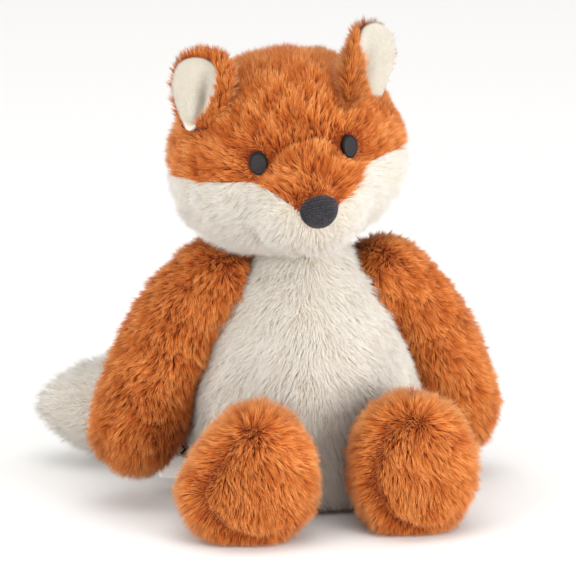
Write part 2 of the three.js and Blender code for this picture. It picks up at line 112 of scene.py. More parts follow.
def add_lamp(name, place, size, power):
    """A square area lamp at a place, whose Z is the way from the fox's chest to the lamp."""
    data = bpy.data.lights.new(name, "AREA")
    data.shape, data.size, data.energy = "SQUARE", size, power
    lamp = bpy.data.objects.new(name, data)
    away = np.array(place) - CHEST
    z = away / np.linalg.norm(away)
    x = np.cross([0, 0, 1.0], z)
    x /= np.linalg.norm(x)
    lamp.matrix_world = Matrix(look_matrix(place, (x, np.cross(z, x), z)).tolist())
    bpy.context.collection.objects.link(lamp)


for lamp in LAMPS:
    add_lamp(*lamp)
scene = bpy.context.scene
scene.view_settings.view_transform = "Standard"
print("lamps", ", ".join(lamp[0] for lamp in LAMPS))


# %% [markdown]
# Shader maths could be built node by node, but it reads best as plain expressions. One small class
# wraps a socket and overloads the operators, and one method makes any other node.

# %% Shader helper
class Flow:
    """A socket of one node tree that adds Math nodes when it is used in an expression."""

    def __init__(self, tree, socket=None):
        self.tree, self.socket = tree, socket

    def node(self, kind, settings=None, **inputs):
        """Makes a node, sets its settings first, then its sockets by name or by _number."""
        node = self.tree.nodes.new(kind)
        for key, value in (settings or {}).items():
            setattr(node, key, value)
        for key, value in inputs.items():
            key = int(key[1:]) if key.startswith("_") else key.replace("__", " ")
            if isinstance(value, Flow):
                value.feed(node.inputs[key])
            else:
                node.inputs[key].default_value = value
        return node

    def of(self, node, output):
        """The flow out of one of a node's outputs, by name or number."""
        return Flow(self.tree, node.outputs[output])

    def feed(self, socket):
        """Links this flow to an input."""
        self.tree.links.new(self.socket, socket)

    def maths(self, operation, *values):
        """A Math node of some operation on flows and numbers."""
        sockets = {f"_{place}": value for place, value in enumerate(values)}
        return self.of(self.node("ShaderNodeMath", {"operation": operation}, **sockets), 0)

    def __add__(self, other):
        return self.maths("ADD", self, other)

    def __mul__(self, other):
        return self.maths("MULTIPLY", self, other)

    __radd__, __rmul__ = __add__, __mul__


def new_material(name, roughness, specular=0.5):
    """A node material with even roughness and specular level: it, its Principled node, a Flow."""
    material = bpy.data.materials.new(name)
    material.use_nodes = True
    shader = material.node_tree.nodes["Principled BSDF"]
    shader.inputs["Roughness"].default_value = roughness
    shader.inputs["Specular IOR Level"].default_value = specular
    return material, shader, Flow(material.node_tree)


def linear(code):
    """sRGB hex code to a linear colour with alpha 1: the usual power curve, piece by piece."""
    values = np.array([int(code[i:i + 2], 16) for i in (1, 3, 5)]) / 255
    lin = np.where(values <= 0.04045, values / 12.92, ((values + 0.055) / 1.055) ** 2.4)
    return (*lin.tolist(), 1.0)


def ramp(flow, factor, stops):
    """A ColorRamp through stops of (place, hex colour), driven by a factor."""
    node = flow.node("ShaderNodeValToRGB", None, Fac=factor)
    elements = node.color_ramp.elements
    while len(elements) < len(stops):
        elements.new(0.5)
    for element, (place, colour) in zip(elements, stops):
        element.position = place
        element.color = linear(colour)
    return flow.of(node, "Color")


print("white in linear light", linear("#ffffff"))


# %% [markdown]
# Floor and surround. The floor is a large pale disc that keeps the fox's soft shadow. A disc costs
# nothing and its edge lies far outside every view.

# %% Floor and world
FLOOR_COLOUR = "#f7f6f4"
FLOOR_RADIUS, FLOOR_CORNERS = 6, 64


def make_floor():
    """A flat disc on the floor plane: one face through points of cosine and sine of equal turns."""
    angle = np.linspace(0, 2 * np.pi, FLOOR_CORNERS, endpoint=False)
    points = np.stack([FLOOR_RADIUS * np.cos(angle), FLOOR_RADIUS * np.sin(angle), 0 * angle], 1)
    mesh = bpy.data.meshes.new("studio_floor")
    mesh.from_pydata(points.tolist(), [], [list(range(FLOOR_CORNERS))])
    floor = bpy.data.objects.new("studio_floor", mesh)
    bpy.context.collection.objects.link(floor)
    material, shader, flow = new_material("floor_paper", 0.9, 0.1)
    shader.inputs["Base Color"].default_value = linear(FLOOR_COLOUR)
    mesh.materials.append(material)


make_floor()
world = bpy.data.worlds.new("surround")
scene.world = world
world.use_nodes = True
world_flow = Flow(world.node_tree)
rays = world_flow.node("ShaderNodeLightPath")
seen = world_flow.of(rays, "Is Camera Ray")
for ray in ("Is Glossy Ray", "Is Transmission Ray"):
    seen = seen.maths("MAXIMUM", seen, world_flow.of(rays, ray))
background = world.node_tree.nodes["Background"]
background.inputs["Color"].default_value = (1, 1, 1, 1)
(seen * (1 - SURROUND) + SURROUND).feed(background.inputs["Strength"])
print("floor", FLOOR_RADIUS, "m, surround", SURROUND)

# %% [markdown]
# Body, head, arms, legs and tail are swollen forms: a table gives each ring's place along the
# axis, its girth, and how far its middle moves aside. They could be sculpted by hand, but the
# table keeps them the same as the solids. A smooth curve runs through the rings, so the cloth is
# round where the solids in the frame have flat facets.


# %% Curve through the rings
def hermite(rows, knots, places):
    """Cubic through rows at knots, each tangent the slope between its two neighbours."""
    slopes = np.empty_like(rows)
    slopes[1:-1] = (rows[2:] - rows[:-2]) / (knots[2:] - knots[:-2])[:, None]
    slopes[0] = (rows[1] - rows[0]) / (knots[1] - knots[0])
    slopes[-1] = (rows[-1] - rows[-2]) / (knots[-1] - knots[-2])
    low = np.clip(np.searchsorted(knots, places, "right") - 1, 0, len(knots) - 2)
    step = (knots[low + 1] - knots[low])[:, None]
    t = (places - knots[low])[:, None] / step
    return ((2 * t**3 - 3 * t**2 + 1) * rows[low] + (t**3 - 2 * t**2 + t) * step * slopes[low]
            + (3 * t**2 - 2 * t**3) * rows[low + 1] + (t**3 - t**2) * step * slopes[low + 1])


straight = np.arange(4.0)
print("half way on a straight row", hermite(straight[:, None], straight, np.array([1.5])))


# %% Swollen forms
PROFILE_POINTS = 600
NORMAL_STEP = 2e-3


class Form:
    """A closed body along its own Z: a point is its ring's middle plus the ring's half width times
    the cosine and half depth times the sine of the angle round it, then placed in the world."""

    def __init__(self, shares, length, width, depth, start, matrix, reshape=None):
        rows = np.array([list(row) + [0.0] * (4 - len(row)) for row in shares], float)
        if rows[0, 1] > 0:
            rows = np.vstack([[rows[0, 0], 0, *rows[0, 2:]], rows])
        mirror = np.array([1, -1, 1, 1.0])
        rows = np.vstack([rows[1] * mirror, rows, rows[-2] * mirror])
        size = [length, width / 2]
        steps = np.linalg.norm(np.diff(rows[:, :2] * size, axis=0), axis=1)
        knots = np.concatenate([[0], np.cumsum(steps)])
        table = hermite(rows, knots, np.linspace(knots[1], knots[-2], PROFILE_POINTS))
        table[:, 1] = np.maximum(table[:, 1], 0)
        run = np.linalg.norm(np.diff(table[:, :2] * size, axis=0), axis=1)
        self.run = np.concatenate([[0], np.cumsum(run)])
        self.table, self.length, self.width, self.depth = table, length, width, depth
        self.start, self.matrix, self.reshape = start, matrix, reshape

    def local(self, u, v):
        """Point of the form at share u of its profile's run and share v of a turn."""
        place = np.clip(u, 0, 1) * self.run[-1]
        along, girth, side, aside = (np.interp(place, self.run, self.table[:, i]) for i in range(4))
        angle = 2 * np.pi * v
        x = side * self.width + girth * self.width / 2 * np.cos(angle)
        y = aside * self.depth + girth * self.depth / 2 * np.sin(angle)
        points = np.stack([x, y, self.start + along * self.length], -1)
        return points if self.reshape is None else self.reshape(points)

    def world(self, points):
        """Own points to the world: turned by the matrix and moved to its place."""
        return points @ self.matrix[:3, :3].T + self.matrix[:3, 3]

    def inward(self, points):
        """World points to the form's own: moved back and turned back."""
        return (points - self.matrix[:3, 3]) @ self.matrix[:3, :3]

    def surface(self, u, v):
        """World points and outward normals: the cross product of the steps round and along."""
        near_u = np.clip(u, 2 * NORMAL_STEP, 1 - 2 * NORMAL_STEP)
        round_step = self.local(near_u, v + NORMAL_STEP) - self.local(near_u, v - NORMAL_STEP)
        along_step = self.local(near_u + NORMAL_STEP, v) - self.local(near_u - NORMAL_STEP, v)
        cross = np.cross(round_step, along_step)
        cross /= np.maximum(np.linalg.norm(cross, axis=-1, keepdims=True), 1e-12)
        return self.world(self.local(u, v)), cross @ self.matrix[:3, :3].T


print("points of a profile", PROFILE_POINTS)


# %% Placing and turning
def basis(place, direction, outward):
    """Matrix with Z along a direction and X turned outward, at a place."""
    z = np.array(direction, float) / np.linalg.norm(direction)
    x = np.array(outward, float) - np.dot(outward, z) * z
    x /= np.linalg.norm(x)
    return look_matrix(place, (x, np.cross(z, x), z))


def turn(axis, angle):
    """Rotation matrix about an axis by an angle, by Rodrigues' formula."""
    x, y, z = np.array(axis, float) / np.linalg.norm(axis)
    cross = np.array([[0, -z, y], [z, 0, -x], [-y, x, 0]])
    matrix = np.eye(4)
    matrix[:3, :3] = np.eye(3) + np.sin(angle) * cross + (1 - np.cos(angle)) * cross @ cross
    return matrix


def shift(x, y, z):
    """Matrix that moves by x, y and z."""
    return look_matrix((x, y, z), np.eye(3))


print("X turned a quarter about Z", turn((0, 0, 1), 90 * DEG)[:3, 0].round(3))


# %% [markdown]
# The sizes are the frame's own. The head carries a broad muzzle, blended into it by taking, along
# each line out from the head's middle, a soft maximum of the two surfaces, as cloth drawn over
# both would lie.

# %% Profiles of body, head, limbs and tail
TORSO_SHARES = [
    (0, 0.8, 0, -0.02), (0.06, 0.93, 0, -0.03), (0.16, 0.99, 0, -0.04), (0.28, 1, 0, -0.045),
    (0.42, 0.965, 0, -0.045), (0.56, 0.865, 0, -0.04), (0.7, 0.73, 0, -0.035), (0.8, 0.6, 0, -0.03),
    (0.88, 0.45, 0, -0.03), (0.94, 0.34, 0, -0.03), (0.98, 0.2, 0, -0.03), (1, 0, 0, -0.03),
]
HEAD_SHARES = [
    (0, 0), (0.025, 0.36), (0.09, 0.63), (0.19, 0.83), (0.31, 0.96), (0.43, 1), (0.56, 0.985),
    (0.69, 0.905), (0.81, 0.76), (0.91, 0.55), (0.975, 0.3), (1, 0),
]
ARM_SHARES = [
    (0, 0), (0.025, 0.43), (0.075, 0.73), (0.146, 0.9), (0.28, 0.93, 0.1), (0.43, 0.94, 0.15),
    (0.6, 0.97, 0.11), (0.76, 1, 0.04), (0.88, 0.93), (0.95, 0.68), (0.988, 0.36), (1, 0),
]
LEG_SHARES = [
    (0, 0), (0.03, 0.345), (0.09, 0.55), (0.197, 0.65), (0.33, 0.69), (0.47, 0.8), (0.61, 0.94),
    (0.74, 1), (0.86, 0.97), (0.94, 0.83), (0.985, 0.56), (1, 0),
]
TAIL_SHARES = [
    (0, 0), (0.03, 0.4), (0.08, 0.57), (0.13, 0.63), (0.25, 0.74, 0.14), (0.4, 0.91, 0.2),
    (0.55, 1, 0.19), (0.7, 0.95, 0.13), (0.82, 0.78, 0.07), (0.91, 0.54, 0.03), (0.97, 0.28), (1, 0),
]
print("rings of the torso", len(TORSO_SHARES), "and of the head", len(HEAD_SHARES))

# %% Head with its muzzle
joint_places = {joint["name"]: np.array(joint["pos_m"]) for joint in frame["joints"]}
NECK = joint_places["neck_turn"]
TORSO_WIDTH, TORSO_DEPTH, TORSO_HEIGHT = mm(123, 102, 150)
HEAD_TURN, HEAD_TILT = 4 * DEG, -7.5 * DEG
HEAD_SIZE = mm(124, 106, 103.5)
HEAD_MIDDLE = mm(-2.5, -5, 57.25)
HEAD_BELOW = 0.505
MUZZLE_SIZE, MUZZLE_PLACE, MUZZLE_BLEND = mm(64, 48, 60), mm(0, -40, -16), 1.6 * MM
head_matrix = shift(*NECK) @ turn((0, 0, 1), HEAD_TURN) @ turn((0, 1, 0), HEAD_TILT) @ shift(*HEAD_MIDDLE)


def with_muzzle(points):
    """Soft maximum, along each ray from the middle, of the head's and the muzzle's distance. The
    muzzle's is the far root of the quadratic where the ray meets its ellipsoid."""
    reach = np.linalg.norm(points, axis=-1, keepdims=True)
    ray = points / np.maximum(reach, 1e-9)
    scaled, centre = ray / (MUZZLE_SIZE / 2), MUZZLE_PLACE / (MUZZLE_SIZE / 2)
    a = (scaled**2).sum(-1, keepdims=True)
    b = (scaled * centre).sum(-1, keepdims=True)
    root = b**2 - a * ((centre**2).sum() - 1)
    far = np.where(root > 0, (b + np.sqrt(np.maximum(root, 0))) / a, 0)
    both = reach + MUZZLE_BLEND * np.log1p(np.exp(np.clip((far - reach) / MUZZLE_BLEND, -30, 30)))
    return ray * np.where(far > 0, both, reach)


width, depth, height = HEAD_SIZE
head = Form(HEAD_SHARES, height, width, depth, -HEAD_BELOW * height, head_matrix, with_muzzle)
body = Form(TORSO_SHARES, TORSO_HEIGHT, TORSO_WIDTH, TORSO_DEPTH, 0, np.eye(4))
forms = {"torso": body, "head": head}
print("head", HEAD_SIZE, "muzzle", MUZZLE_SIZE)

# %% [markdown]
# A limb starts as a ball in its seam and runs along a direction. The sole of a foot is sewn on,
# and its seam pulls the foot in a little, so the leg's form is pressed in along that line. The
# right foot is a little flattened at its outer upper corner, as it is on the real toy.

# %% Limbs and tail
ARM_SPLAY, ARM_SWING = {"left": 26.5 * DEG, "right": 29.5 * DEG}, {"left": -13 * DEG, "right": 9 * DEG}
LEG_RISE, LEG_SPLAY, TAIL_AIM = 7 * DEG, {"left": 3.5 * DEG, "right": 1 * DEG}, 74 * DEG
LEG_REACH, FOOT_WIDTH = {"left": 68, "right": 75}, {"left": 62, "right": 69}
FOOT_FLAT, SOLE_DEPTH = {"left": 0, "right": 8.5}, 7
CREASE_WIDTH, CREASE_DEPTH, FOOT_CORE = 3.5 * MM, 4, 24 * MM
# Length from the joint, root behind it, width and depth, all in millimetres.
ARM_SIZES, TAIL_SIZES = (116, 20, 47, 47), (123, 17, 53, 53)
LEG_ROOT, LEG_DEPTH = 24, 74


def limb(shares, place, direction, outward, length, root, width, depth, reshape=None):
    """A limb from the ball at its root along a direction, with its sizes in millimetres."""
    return Form(shares, (length + root) * MM, width * MM, depth * MM, -root * MM,
                basis(place, direction, outward), reshape)


def seam_share(aside, up):
    """How deep the seam of a sole lies: deepest on the fox's right and below, hardly seen above."""
    return np.clip(0.55 - 0.6 * aside - 0.3 * up, 0.06, 1)


def foot_shape(reach, up_sign, flat):
    """Scales a foot's rings in: along the seam of its sole by a bell curve of the distance from it,
    and at its outer upper corner by some millimetres, the further the nearer to the diagonal."""
    def reshape(points):
        x, up, z = points[..., 0], up_sign * points[..., 1], points[..., 2]
        radius = np.maximum(np.hypot(x, up), 1e-6)
        crease = np.exp(-((z - (reach - SOLE_DEPTH) * MM) / CREASE_WIDTH)**2)
        crease = crease * seam_share(up_sign * x / radius, up / radius)
        corner = np.clip(((x + up) / radius / np.sqrt(2) - 0.55) / 0.45, 0, 1)
        corner = corner * np.clip(radius / (20 * MM), 0, 1)
        scale = 1 - (CREASE_DEPTH * crease + flat * corner) * MM / np.maximum(radius, FOOT_CORE)
        return np.stack([x * scale, points[..., 1] * scale, z], -1)
    return reshape


def arm_aim(splay, swing, side):
    """An arm's direction: down, splayed to one side, then swung forward or back."""
    down = np.array([side * np.sin(splay), 0, -np.cos(splay)])
    return turn((1, 0, 0), -swing)[:3, :3] @ down


def leg_aim(splay, side):
    """A leg's direction: ahead, splayed to one side and raised by the sine of its rise."""
    return (side * np.sin(splay) * np.cos(LEG_RISE), -np.cos(splay) * np.cos(LEG_RISE), np.sin(LEG_RISE))


tail_aim = (-np.sin(TAIL_AIM), np.cos(TAIL_AIM), 0)
forms["tail"] = limb(TAIL_SHARES, joint_places["tail_swing"], tail_aim, (0, 1, 0), *TAIL_SIZES)
for name, side in SIDES.items():
    outward = (side, 0, 0)
    aim = arm_aim(ARM_SPLAY[name], ARM_SWING[name], side)
    forms[f"arm_{name}"] = limb(ARM_SHARES, joint_places[f"arm_{name}_lift"], aim, outward, *ARM_SIZES)
    aim, shape = leg_aim(LEG_SPLAY[name], side), foot_shape(LEG_REACH[name], side, FOOT_FLAT[name])
    sizes = LEG_REACH[name], LEG_ROOT, FOOT_WIDTH[name], LEG_DEPTH
    forms[f"leg_{name}"] = limb(LEG_SHARES, joint_places[f"leg_{name}_lift"], aim, outward, *sizes, shape)
print("forms", ", ".join(forms))

# %% [markdown]
# Fur is colour as much as shape: dark at the root, where the colour is painted shade between the
# hairs, bright at the tip, partly its own colour and partly painted highlight, and no two tufts
# alike. Each hair carries two numbers in its own UV map, how far along it a point is and its tint,
# and the material turns them into colour with two ramps.

# %% Pile materials
# Each ramp runs from root to tip: its dark root colours are painted shade between the hairs, its bright tip
# colours partly the pile's own colour and partly painted highlight.
PILES = {
    "orange": {"low": [(0, "#5a1d06"), (0.3, "#9a3e0e"), (0.7, "#d0671f"), (1, "#e98b40")],
               "high": [(0, "#883a10"), (0.3, "#cc6821"), (0.7, "#f2994c"), (1, "#ffc083")]},
    "cream": {"low": [(0, "#c8b79f"), (0.3, "#ded2c0"), (0.75, "#e9e3d7"), (1, "#ede8df")],
              "high": [(0, "#d6c8b3"), (0.3, "#e8dfd1"), (0.75, "#f0ebe2"), (1, "#f4f0e9")]},
    "lining": {"low": [(0, "#c9bfae"), (0.5, "#ddd6c8"), (1, "#e6e0d3")],
               "high": [(0, "#d4cbbb"), (0.5, "#e8e2d6"), (1, "#f1ece1")]},
    "nose": {"low": [(0, "#1c1a1d"), (0.6, "#333035"), (1, "#454247")],
             "high": [(0, "#2c292d"), (0.6, "#5a565e"), (1, "#7d7880")]},
    "fill": {"low": [(0, "#dedcd6"), (1, "#efeeea")], "high": [(0, "#e6e4df"), (1, "#f6f5f2")]},
    "pouch": {"low": [(0, "#c4bda9"), (1, "#d2cbb9")], "high": [(0, "#cdc6b3"), (1, "#dcd6c6")]},
}


def fur_numbers(flow):
    """The two numbers of the fur map as flows: the share along a hair, and its tint."""
    place = flow.of(flow.node("ShaderNodeUVMap", {"uv_map": "fur"}), 0)
    parts = flow.node("ShaderNodeSeparateXYZ", None, Vector=place)
    return flow.of(parts, 0), flow.of(parts, 1)


def pile_material(name, low, high):
    """Two ramps along the hair, mixed by its tint, with a faint sheen. The ramps' dark roots are painted
    shade between the hairs, their bright tips partly painted highlight.
    """
    material, shader, flow = new_material(f"{name}_pile", 0.75, 0.2)
    along, tint = fur_numbers(flow)
    mixed = flow.node("ShaderNodeMix", {"data_type": "RGBA"}, _0=tint, _6=ramp(flow, along, low),
                      _7=ramp(flow, along, high))
    flow.of(mixed, 2).feed(shader.inputs["Base Color"])
    shader.inputs["Sheen Weight"].default_value = 0.1
    shader.inputs["Sheen Roughness"].default_value = 0.5
    return material


piles = {name: pile_material(name, **stops) for name, stops in PILES.items()}
print("pile materials", ", ".join(piles))

# %% [markdown]
# A particle system could grow this pile, but particle hair has no faces and would not survive the
# export. So each hair is a slim closed spike: three corners at its root, one at its tip. Hairs lean
# along the brushing direction, and those of one tuft are drawn towards the tuft's middle, which
# gives the partings. Everything is worked out for all hairs of a panel at once.

# %% Smooth noise
# The size in metres and the seed of each noise that makes the pile uneven.
WAVES = {
    "ruffle": (0.02, 11), "length": (0.03, 5), "pit": (0.017, 31), "lean": (0.015, 23), "tint": (0.014, 3),
    "shade": (0.006, 41), "lump": (0.012, 29),
}


def unit(vectors):
    """Vectors divided by their lengths."""
    return vectors / np.maximum(np.linalg.norm(vectors, axis=-1, keepdims=True), 1e-12)


def waves(points, kind):
    """Smooth noise of three parts: sums of sines of the place along random directions."""
    size, seed = WAVES[kind]
    local = np.random.default_rng(seed)
    total = np.zeros(points.shape)
    for octave in range(5):
        ways = unit(local.normal(size=(3, 3))) * (2 * np.pi / (size * local.uniform(0.6, 1.6)))
        total += np.sin(points @ ways.T + local.uniform(0, 2 * np.pi, 3))
    return total / 2.5


print("noises", ", ".join(WAVES))

# %% Places of hairs and tufts
CELL_ROWS, CELL_TURNS = 90, 120
TUFT_JITTER, TUFT_HEIGHT, TUFT_LEAN = (0.1, 0.9), (0.4, 0.7), 0.75


def scatter(form, density, keep):
    """Places for hairs: spread by area over a grid of cells, then kept where asked."""
    rows, turns = (np.arange(CELL_ROWS) + 0.5) / CELL_ROWS, (np.arange(CELL_TURNS) + 0.5) / CELL_TURNS
    u, v = np.meshgrid(rows, turns, indexing="ij")
    along = form.local(u + 0.5 / CELL_ROWS, v) - form.local(u - 0.5 / CELL_ROWS, v)
    across = form.local(u, v + 0.5 / CELL_TURNS) - form.local(u, v - 0.5 / CELL_TURNS)
    area = np.linalg.norm(np.cross(along, across), axis=-1).ravel()
    total = area.sum()
    count = int(total * density * 1e4)
    cells = np.searchsorted(np.cumsum(area), (np.arange(count) + rng.random(count)) / count * total)
    cells = np.clip(cells, 0, area.size - 1)
    u = (cells // CELL_TURNS + rng.random(count)) / CELL_ROWS
    v = (cells % CELL_TURNS + rng.random(count)) / CELL_TURNS
    chosen = keep(form.local(u, v))
    return u[chosen], v[chosen]


def tufts(form, u, v, spacing, flow, height, stray):
    """For each hair, the middle tip of the nearest tuft of a jittered grid, its tint and nearness."""
    rows = max(int(form.run[-1] / spacing), 4)
    turns = max(int(np.pi * (form.width + form.depth) / 2 / spacing), 6)
    gu, gv = np.meshgrid(np.arange(rows), np.arange(turns), indexing="ij")
    gu = (gu + rng.uniform(*TUFT_JITTER, gu.shape)) / rows
    gv = (gv + rng.uniform(*TUFT_JITTER, gv.shape)) / turns
    middles, lifts = form.surface(gu, gv)
    side = rng.normal(size=middles.shape) * stray
    way = unit(flow(middles.reshape(-1, 3), lifts.reshape(-1, 3)).reshape(middles.shape) + side)
    rise = rng.uniform(*TUFT_HEIGHT, gu.shape)[..., None]
    middle_tips = middles + lifts * height * rise + way * height * TUFT_LEAN
    roots = form.world(form.local(u, v))
    row, col = np.clip((u * rows).astype(int), 0, rows - 1), (v * turns).astype(int)
    best, nearest = np.full(len(u), np.inf), np.zeros((len(u), 2), int)
    for i in (-1, 0, 1):
        for j in (-1, 0, 1):
            at = np.clip(row + i, 0, rows - 1), (col + j) % turns
            gap = np.linalg.norm(middles[at] - roots, axis=-1)
            closer = gap < best
            best[closer] = gap[closer]
            nearest[closer] = np.stack(at, -1)[closer]
    index = nearest[:, 0], nearest[:, 1]
    return middle_tips[index], rng.random(gu.shape)[index], np.exp(-(best / spacing)**2)


print("cells for a form's hairs", CELL_ROWS * CELL_TURNS)

# %% Hairs of pile
FLOOR_GAP = 0.4 * MM
HAIR_RANGE = (0.7, 1.15)
STRAY_HAIR, LENGTH_WAVE = 0.22, 0.12
PIT_START, PIT_DEPTH = 0.3, 0.4
LEAN_SPREAD, LEAN_WAVE = 9, 8
# The third number paints shorter pile darker: painted shade in pits, creases and trimmed places.
TUFT_TINT, HAIR_TINT, SHORT_PAINTED_SHADE = 0.8, 0.22, 0.6
HAIR_STRIP = 1 / 96
ROOT_SHADE, TIP_SHADE = 0.6, 0.25


def spikes(roots, tips, normals, width, tint):
    """Corners, faces, UVs and normals of all hairs. UV is the share along the hair and its tint.
    A corner's normal is half the cloth's and half its own, as light scatters between fine hairs."""
    count = len(roots)
    spin = rng.random(count)[:, None] * 2 * np.pi + np.array([0, 2, 4]) * np.pi / 3
    way = unit(tips - roots)
    side_a = unit(np.cross(way, normals + 1e-3))
    side_b = np.cross(way, side_a)
    ring = side_a[:, None] * np.cos(spin)[..., None] + side_b[:, None] * np.sin(spin)[..., None]
    points = np.concatenate([roots[:, None] + ring * (width / 2)[:, None, None], tips[:, None]], 1)
    root_shade = unit(ring * ROOT_SHADE + normals[:, None])
    tip_shade = unit(normals[:, None] + TIP_SHADE * way[:, None])
    faces = np.array([(0, 1, 3), (1, 2, 3), (2, 0, 3), (2, 1, 0)])
    faces = (faces[None] + 4 * np.arange(count)[:, None, None]).reshape(-1, 3)
    along = np.tile([0, 0, 1, 0, 0, 1, 0, 0, 1, 0, 0.02, 0], count)
    across = np.array([0, 1, 0.5, 1, 2, 1.5, 2, 3, 2.5, 0, 0, 1]) / 3 * HAIR_STRIP
    v = (np.clip(tint, 0, 1)[:, None] * (1 - HAIR_STRIP) + across).reshape(-1)
    shade = np.concatenate([root_shade, tip_shade], 1)
    return points.reshape(-1, 3), faces, np.stack([along, v], -1), shade.reshape(-1, 3)


# The light argument raises the tint of a whole panel: painted light.
def pile(form, keep, flow, density=250, length=8.5, width=0.46, lean=42, tuft=2.6, pull=0.48, stray=0.58,
         sunk=0.5, ruffle=0.6, patch=0.24, light=0.0, trim=None):
    """All hairs of one panel: density per square centimetre, sizes in millimetres, lean in degrees.
    A tip is the root plus the hair's length along the normal, leant over towards its brushing
    direction, and is then pulled to the tip of its tuft. Shallow pits and trimmed places are shorter
    and painted darker, as painted shade."""
    u, v = scatter(form, density, keep)
    places, normals = form.surface(u, v)
    roots = places - normals * sunk * MM
    way = flow(roots, normals) + ruffle * waves(roots, "ruffle") + STRAY_HAIR * rng.normal(size=roots.shape)
    way = unit(way - (way * normals).sum(-1, keepdims=True) * normals)
    size = length * MM * rng.uniform(*HAIR_RANGE, len(u)) * (1 + LENGTH_WAVE * waves(roots, "length")[:, 0])
    pit = np.clip(waves(roots, "pit")[:, 1] - PIT_START, 0, 1)
    short = (1 - PIT_DEPTH * pit) * (1 if trim is None else trim(roots))
    size = size * short
    tilt = (lean + LEAN_SPREAD * rng.normal(size=len(u)) + LEAN_WAVE * waves(roots, "lean")[:, 2]) * DEG
    tips = roots + (normals * np.cos(tilt)[:, None] + way * np.sin(tilt)[:, None]) * size[:, None]
    middle, tuft_tint, close = tufts(form, u, v, tuft * MM, flow, length * MM, stray)
    share = (pull * close * np.minimum(size / (length * MM), 1))[:, None]
    tips = tips + (middle - tips) * share
    tips[:, 2] = np.maximum(tips[:, 2], FLOOR_GAP)
    roots[:, 2] = np.maximum(roots[:, 2], width * MM)
    tint = 0.5 + TUFT_TINT * (tuft_tint - 0.5) + HAIR_TINT * rng.normal(size=len(u))
    # Shorter pile is painted darker here, as painted shade.
    tint = tint + patch * waves(roots, "tint")[:, 1] + light - SHORT_PAINTED_SHADE * (1 - np.minimum(short, 1))
    return spikes(roots, tips, normals, width * MM * rng.uniform(*HAIR_RANGE, len(u)), tint)


print("one hair has 4 faces and is", 1000 * FLOOR_GAP, "mm or more off the floor")

# %% [markdown]
# Under the hairs each panel has its cloth backing: a closed sheet that follows the form, 2 mm thick
# on the body and thinner on the ears and the nose. It takes the pile's dark root colour and shows
# as painted shade between the tufts, and it keeps light from shining through. Solidify could
# thicken a sheet too, but here hair and cloth become one mesh, and so the sheet is closed in numbers.

# %% Cloth backing
BACKING_FLOOR = 0.3 * MM
BACKING_TINT = 0.3


def backing(form, keep, rows=48, turns=54, sunk=0.5, thick=2.0):
    """The form's grid cells that belong to a panel, doubled inward and sewn up round the edge."""
    u, v = np.meshgrid(np.linspace(0.004, 0.996, rows + 1), np.arange(turns) / turns, indexing="ij")
    flat = form.local(u, v)
    places, normals = form.surface(u, v)
    outer = places - normals * sunk * MM
    inner = outer - normals * thick * MM
    index = np.arange((rows + 1) * turns).reshape(rows + 1, turns)
    following = np.roll(index, -1, 1)
    quads = np.stack([index[:-1], following[:-1], following[1:], index[1:]], -1)
    centres = (flat[:-1] + flat[1:] + np.roll(flat, -1, 1)[:-1] + np.roll(flat, -1, 1)[1:]) / 4
    inside = keep(centres.reshape(-1, 3)).reshape(rows, turns)
    points = np.concatenate([outer.reshape(-1, 3), inner.reshape(-1, 3)])
    points[:, 2] = np.maximum(points[:, 2], BACKING_FLOOR)
    offset = index.size
    faces = [quads[inside], quads[inside][:, ::-1] + offset]
    padded = np.pad(inside, ((1, 1), (0, 0)))
    neighbours = ((padded[:-2], (0, 1)), (np.roll(inside, -1, 1), (1, 2)), (padded[2:], (2, 3)),
                  (np.roll(inside, 1, 1), (3, 0)))
    for near, (a, b) in neighbours:
        edge = quads[inside & ~near]
        faces.append(np.stack([edge[:, b], edge[:, a], edge[:, a] + offset, edge[:, b] + offset], -1))
    used, compact = np.unique(np.concatenate(faces), return_inverse=True)
    shade = np.concatenate([normals.reshape(-1, 3), -normals.reshape(-1, 3)])
    return points[used], compact.reshape(-1, 4), shade[used]


print("backing tint", BACKING_TINT)


# %% Meshes and pieces
def dress(mesh, uv, material):
    """Puts the fur map on a mesh twice, once under the name that the export bakes from, smooths
    its faces and gives it its material."""
    for map_name in ("fur", "OFBake"):
        mesh.uv_layers.new(name=map_name).uv.foreach_set("vector", uv.astype(np.float32).ravel())
    mesh.polygons.foreach_set("use_smooth", np.ones(len(mesh.polygons), bool))
    mesh.materials.append(material)


def joined_mesh(name, ground, hairs, material):
    """One mesh of a backing's quads and the hairs' triangles, with the fur map on all of it."""
    ground_points, quads, ground_shade = ground
    hair_points, triangles, hair_uv, hair_shade = hairs
    points = np.concatenate([ground_points, hair_points])
    loops = np.concatenate([quads.ravel(), triangles.ravel() + len(ground_points)])
    sizes = np.concatenate([np.full(len(quads), 4), np.full(len(triangles), 3)])
    mesh = bpy.data.meshes.new(name)
    mesh.vertices.add(len(points))
    mesh.vertices.foreach_set("co", points.astype(np.float32).ravel())
    mesh.loops.add(len(loops))
    mesh.loops.foreach_set("vertex_index", loops.astype(np.int32))
    mesh.polygons.add(len(sizes))
    mesh.polygons.foreach_set("loop_start", np.concatenate([[0], np.cumsum(sizes)[:-1]]).astype(np.int32))
    mesh.update(calc_edges=True)
    # The backing takes the ramp's dark root end: painted shade between the tufts.
    corner = np.array([[0, 0], [0.02, 0], [0.02, 0.02], [0, 0.02]]) + [0, BACKING_TINT]
    dress(mesh, np.concatenate([np.tile(corner, (len(quads), 1)), hair_uv]), material)
    mesh.normals_split_custom_set_from_vertices(np.concatenate([ground_shade, hair_shade]).tolist())
    return mesh


def add_piece(name, mesh, body, node):
    """Puts a finished mesh in the scene, rides it on its body and hides the node it stands for."""
    piece = bpy.data.objects.new(name, mesh)
    bpy.context.collection.objects.link(piece)
    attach(piece, body)
    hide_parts(node)
    return piece


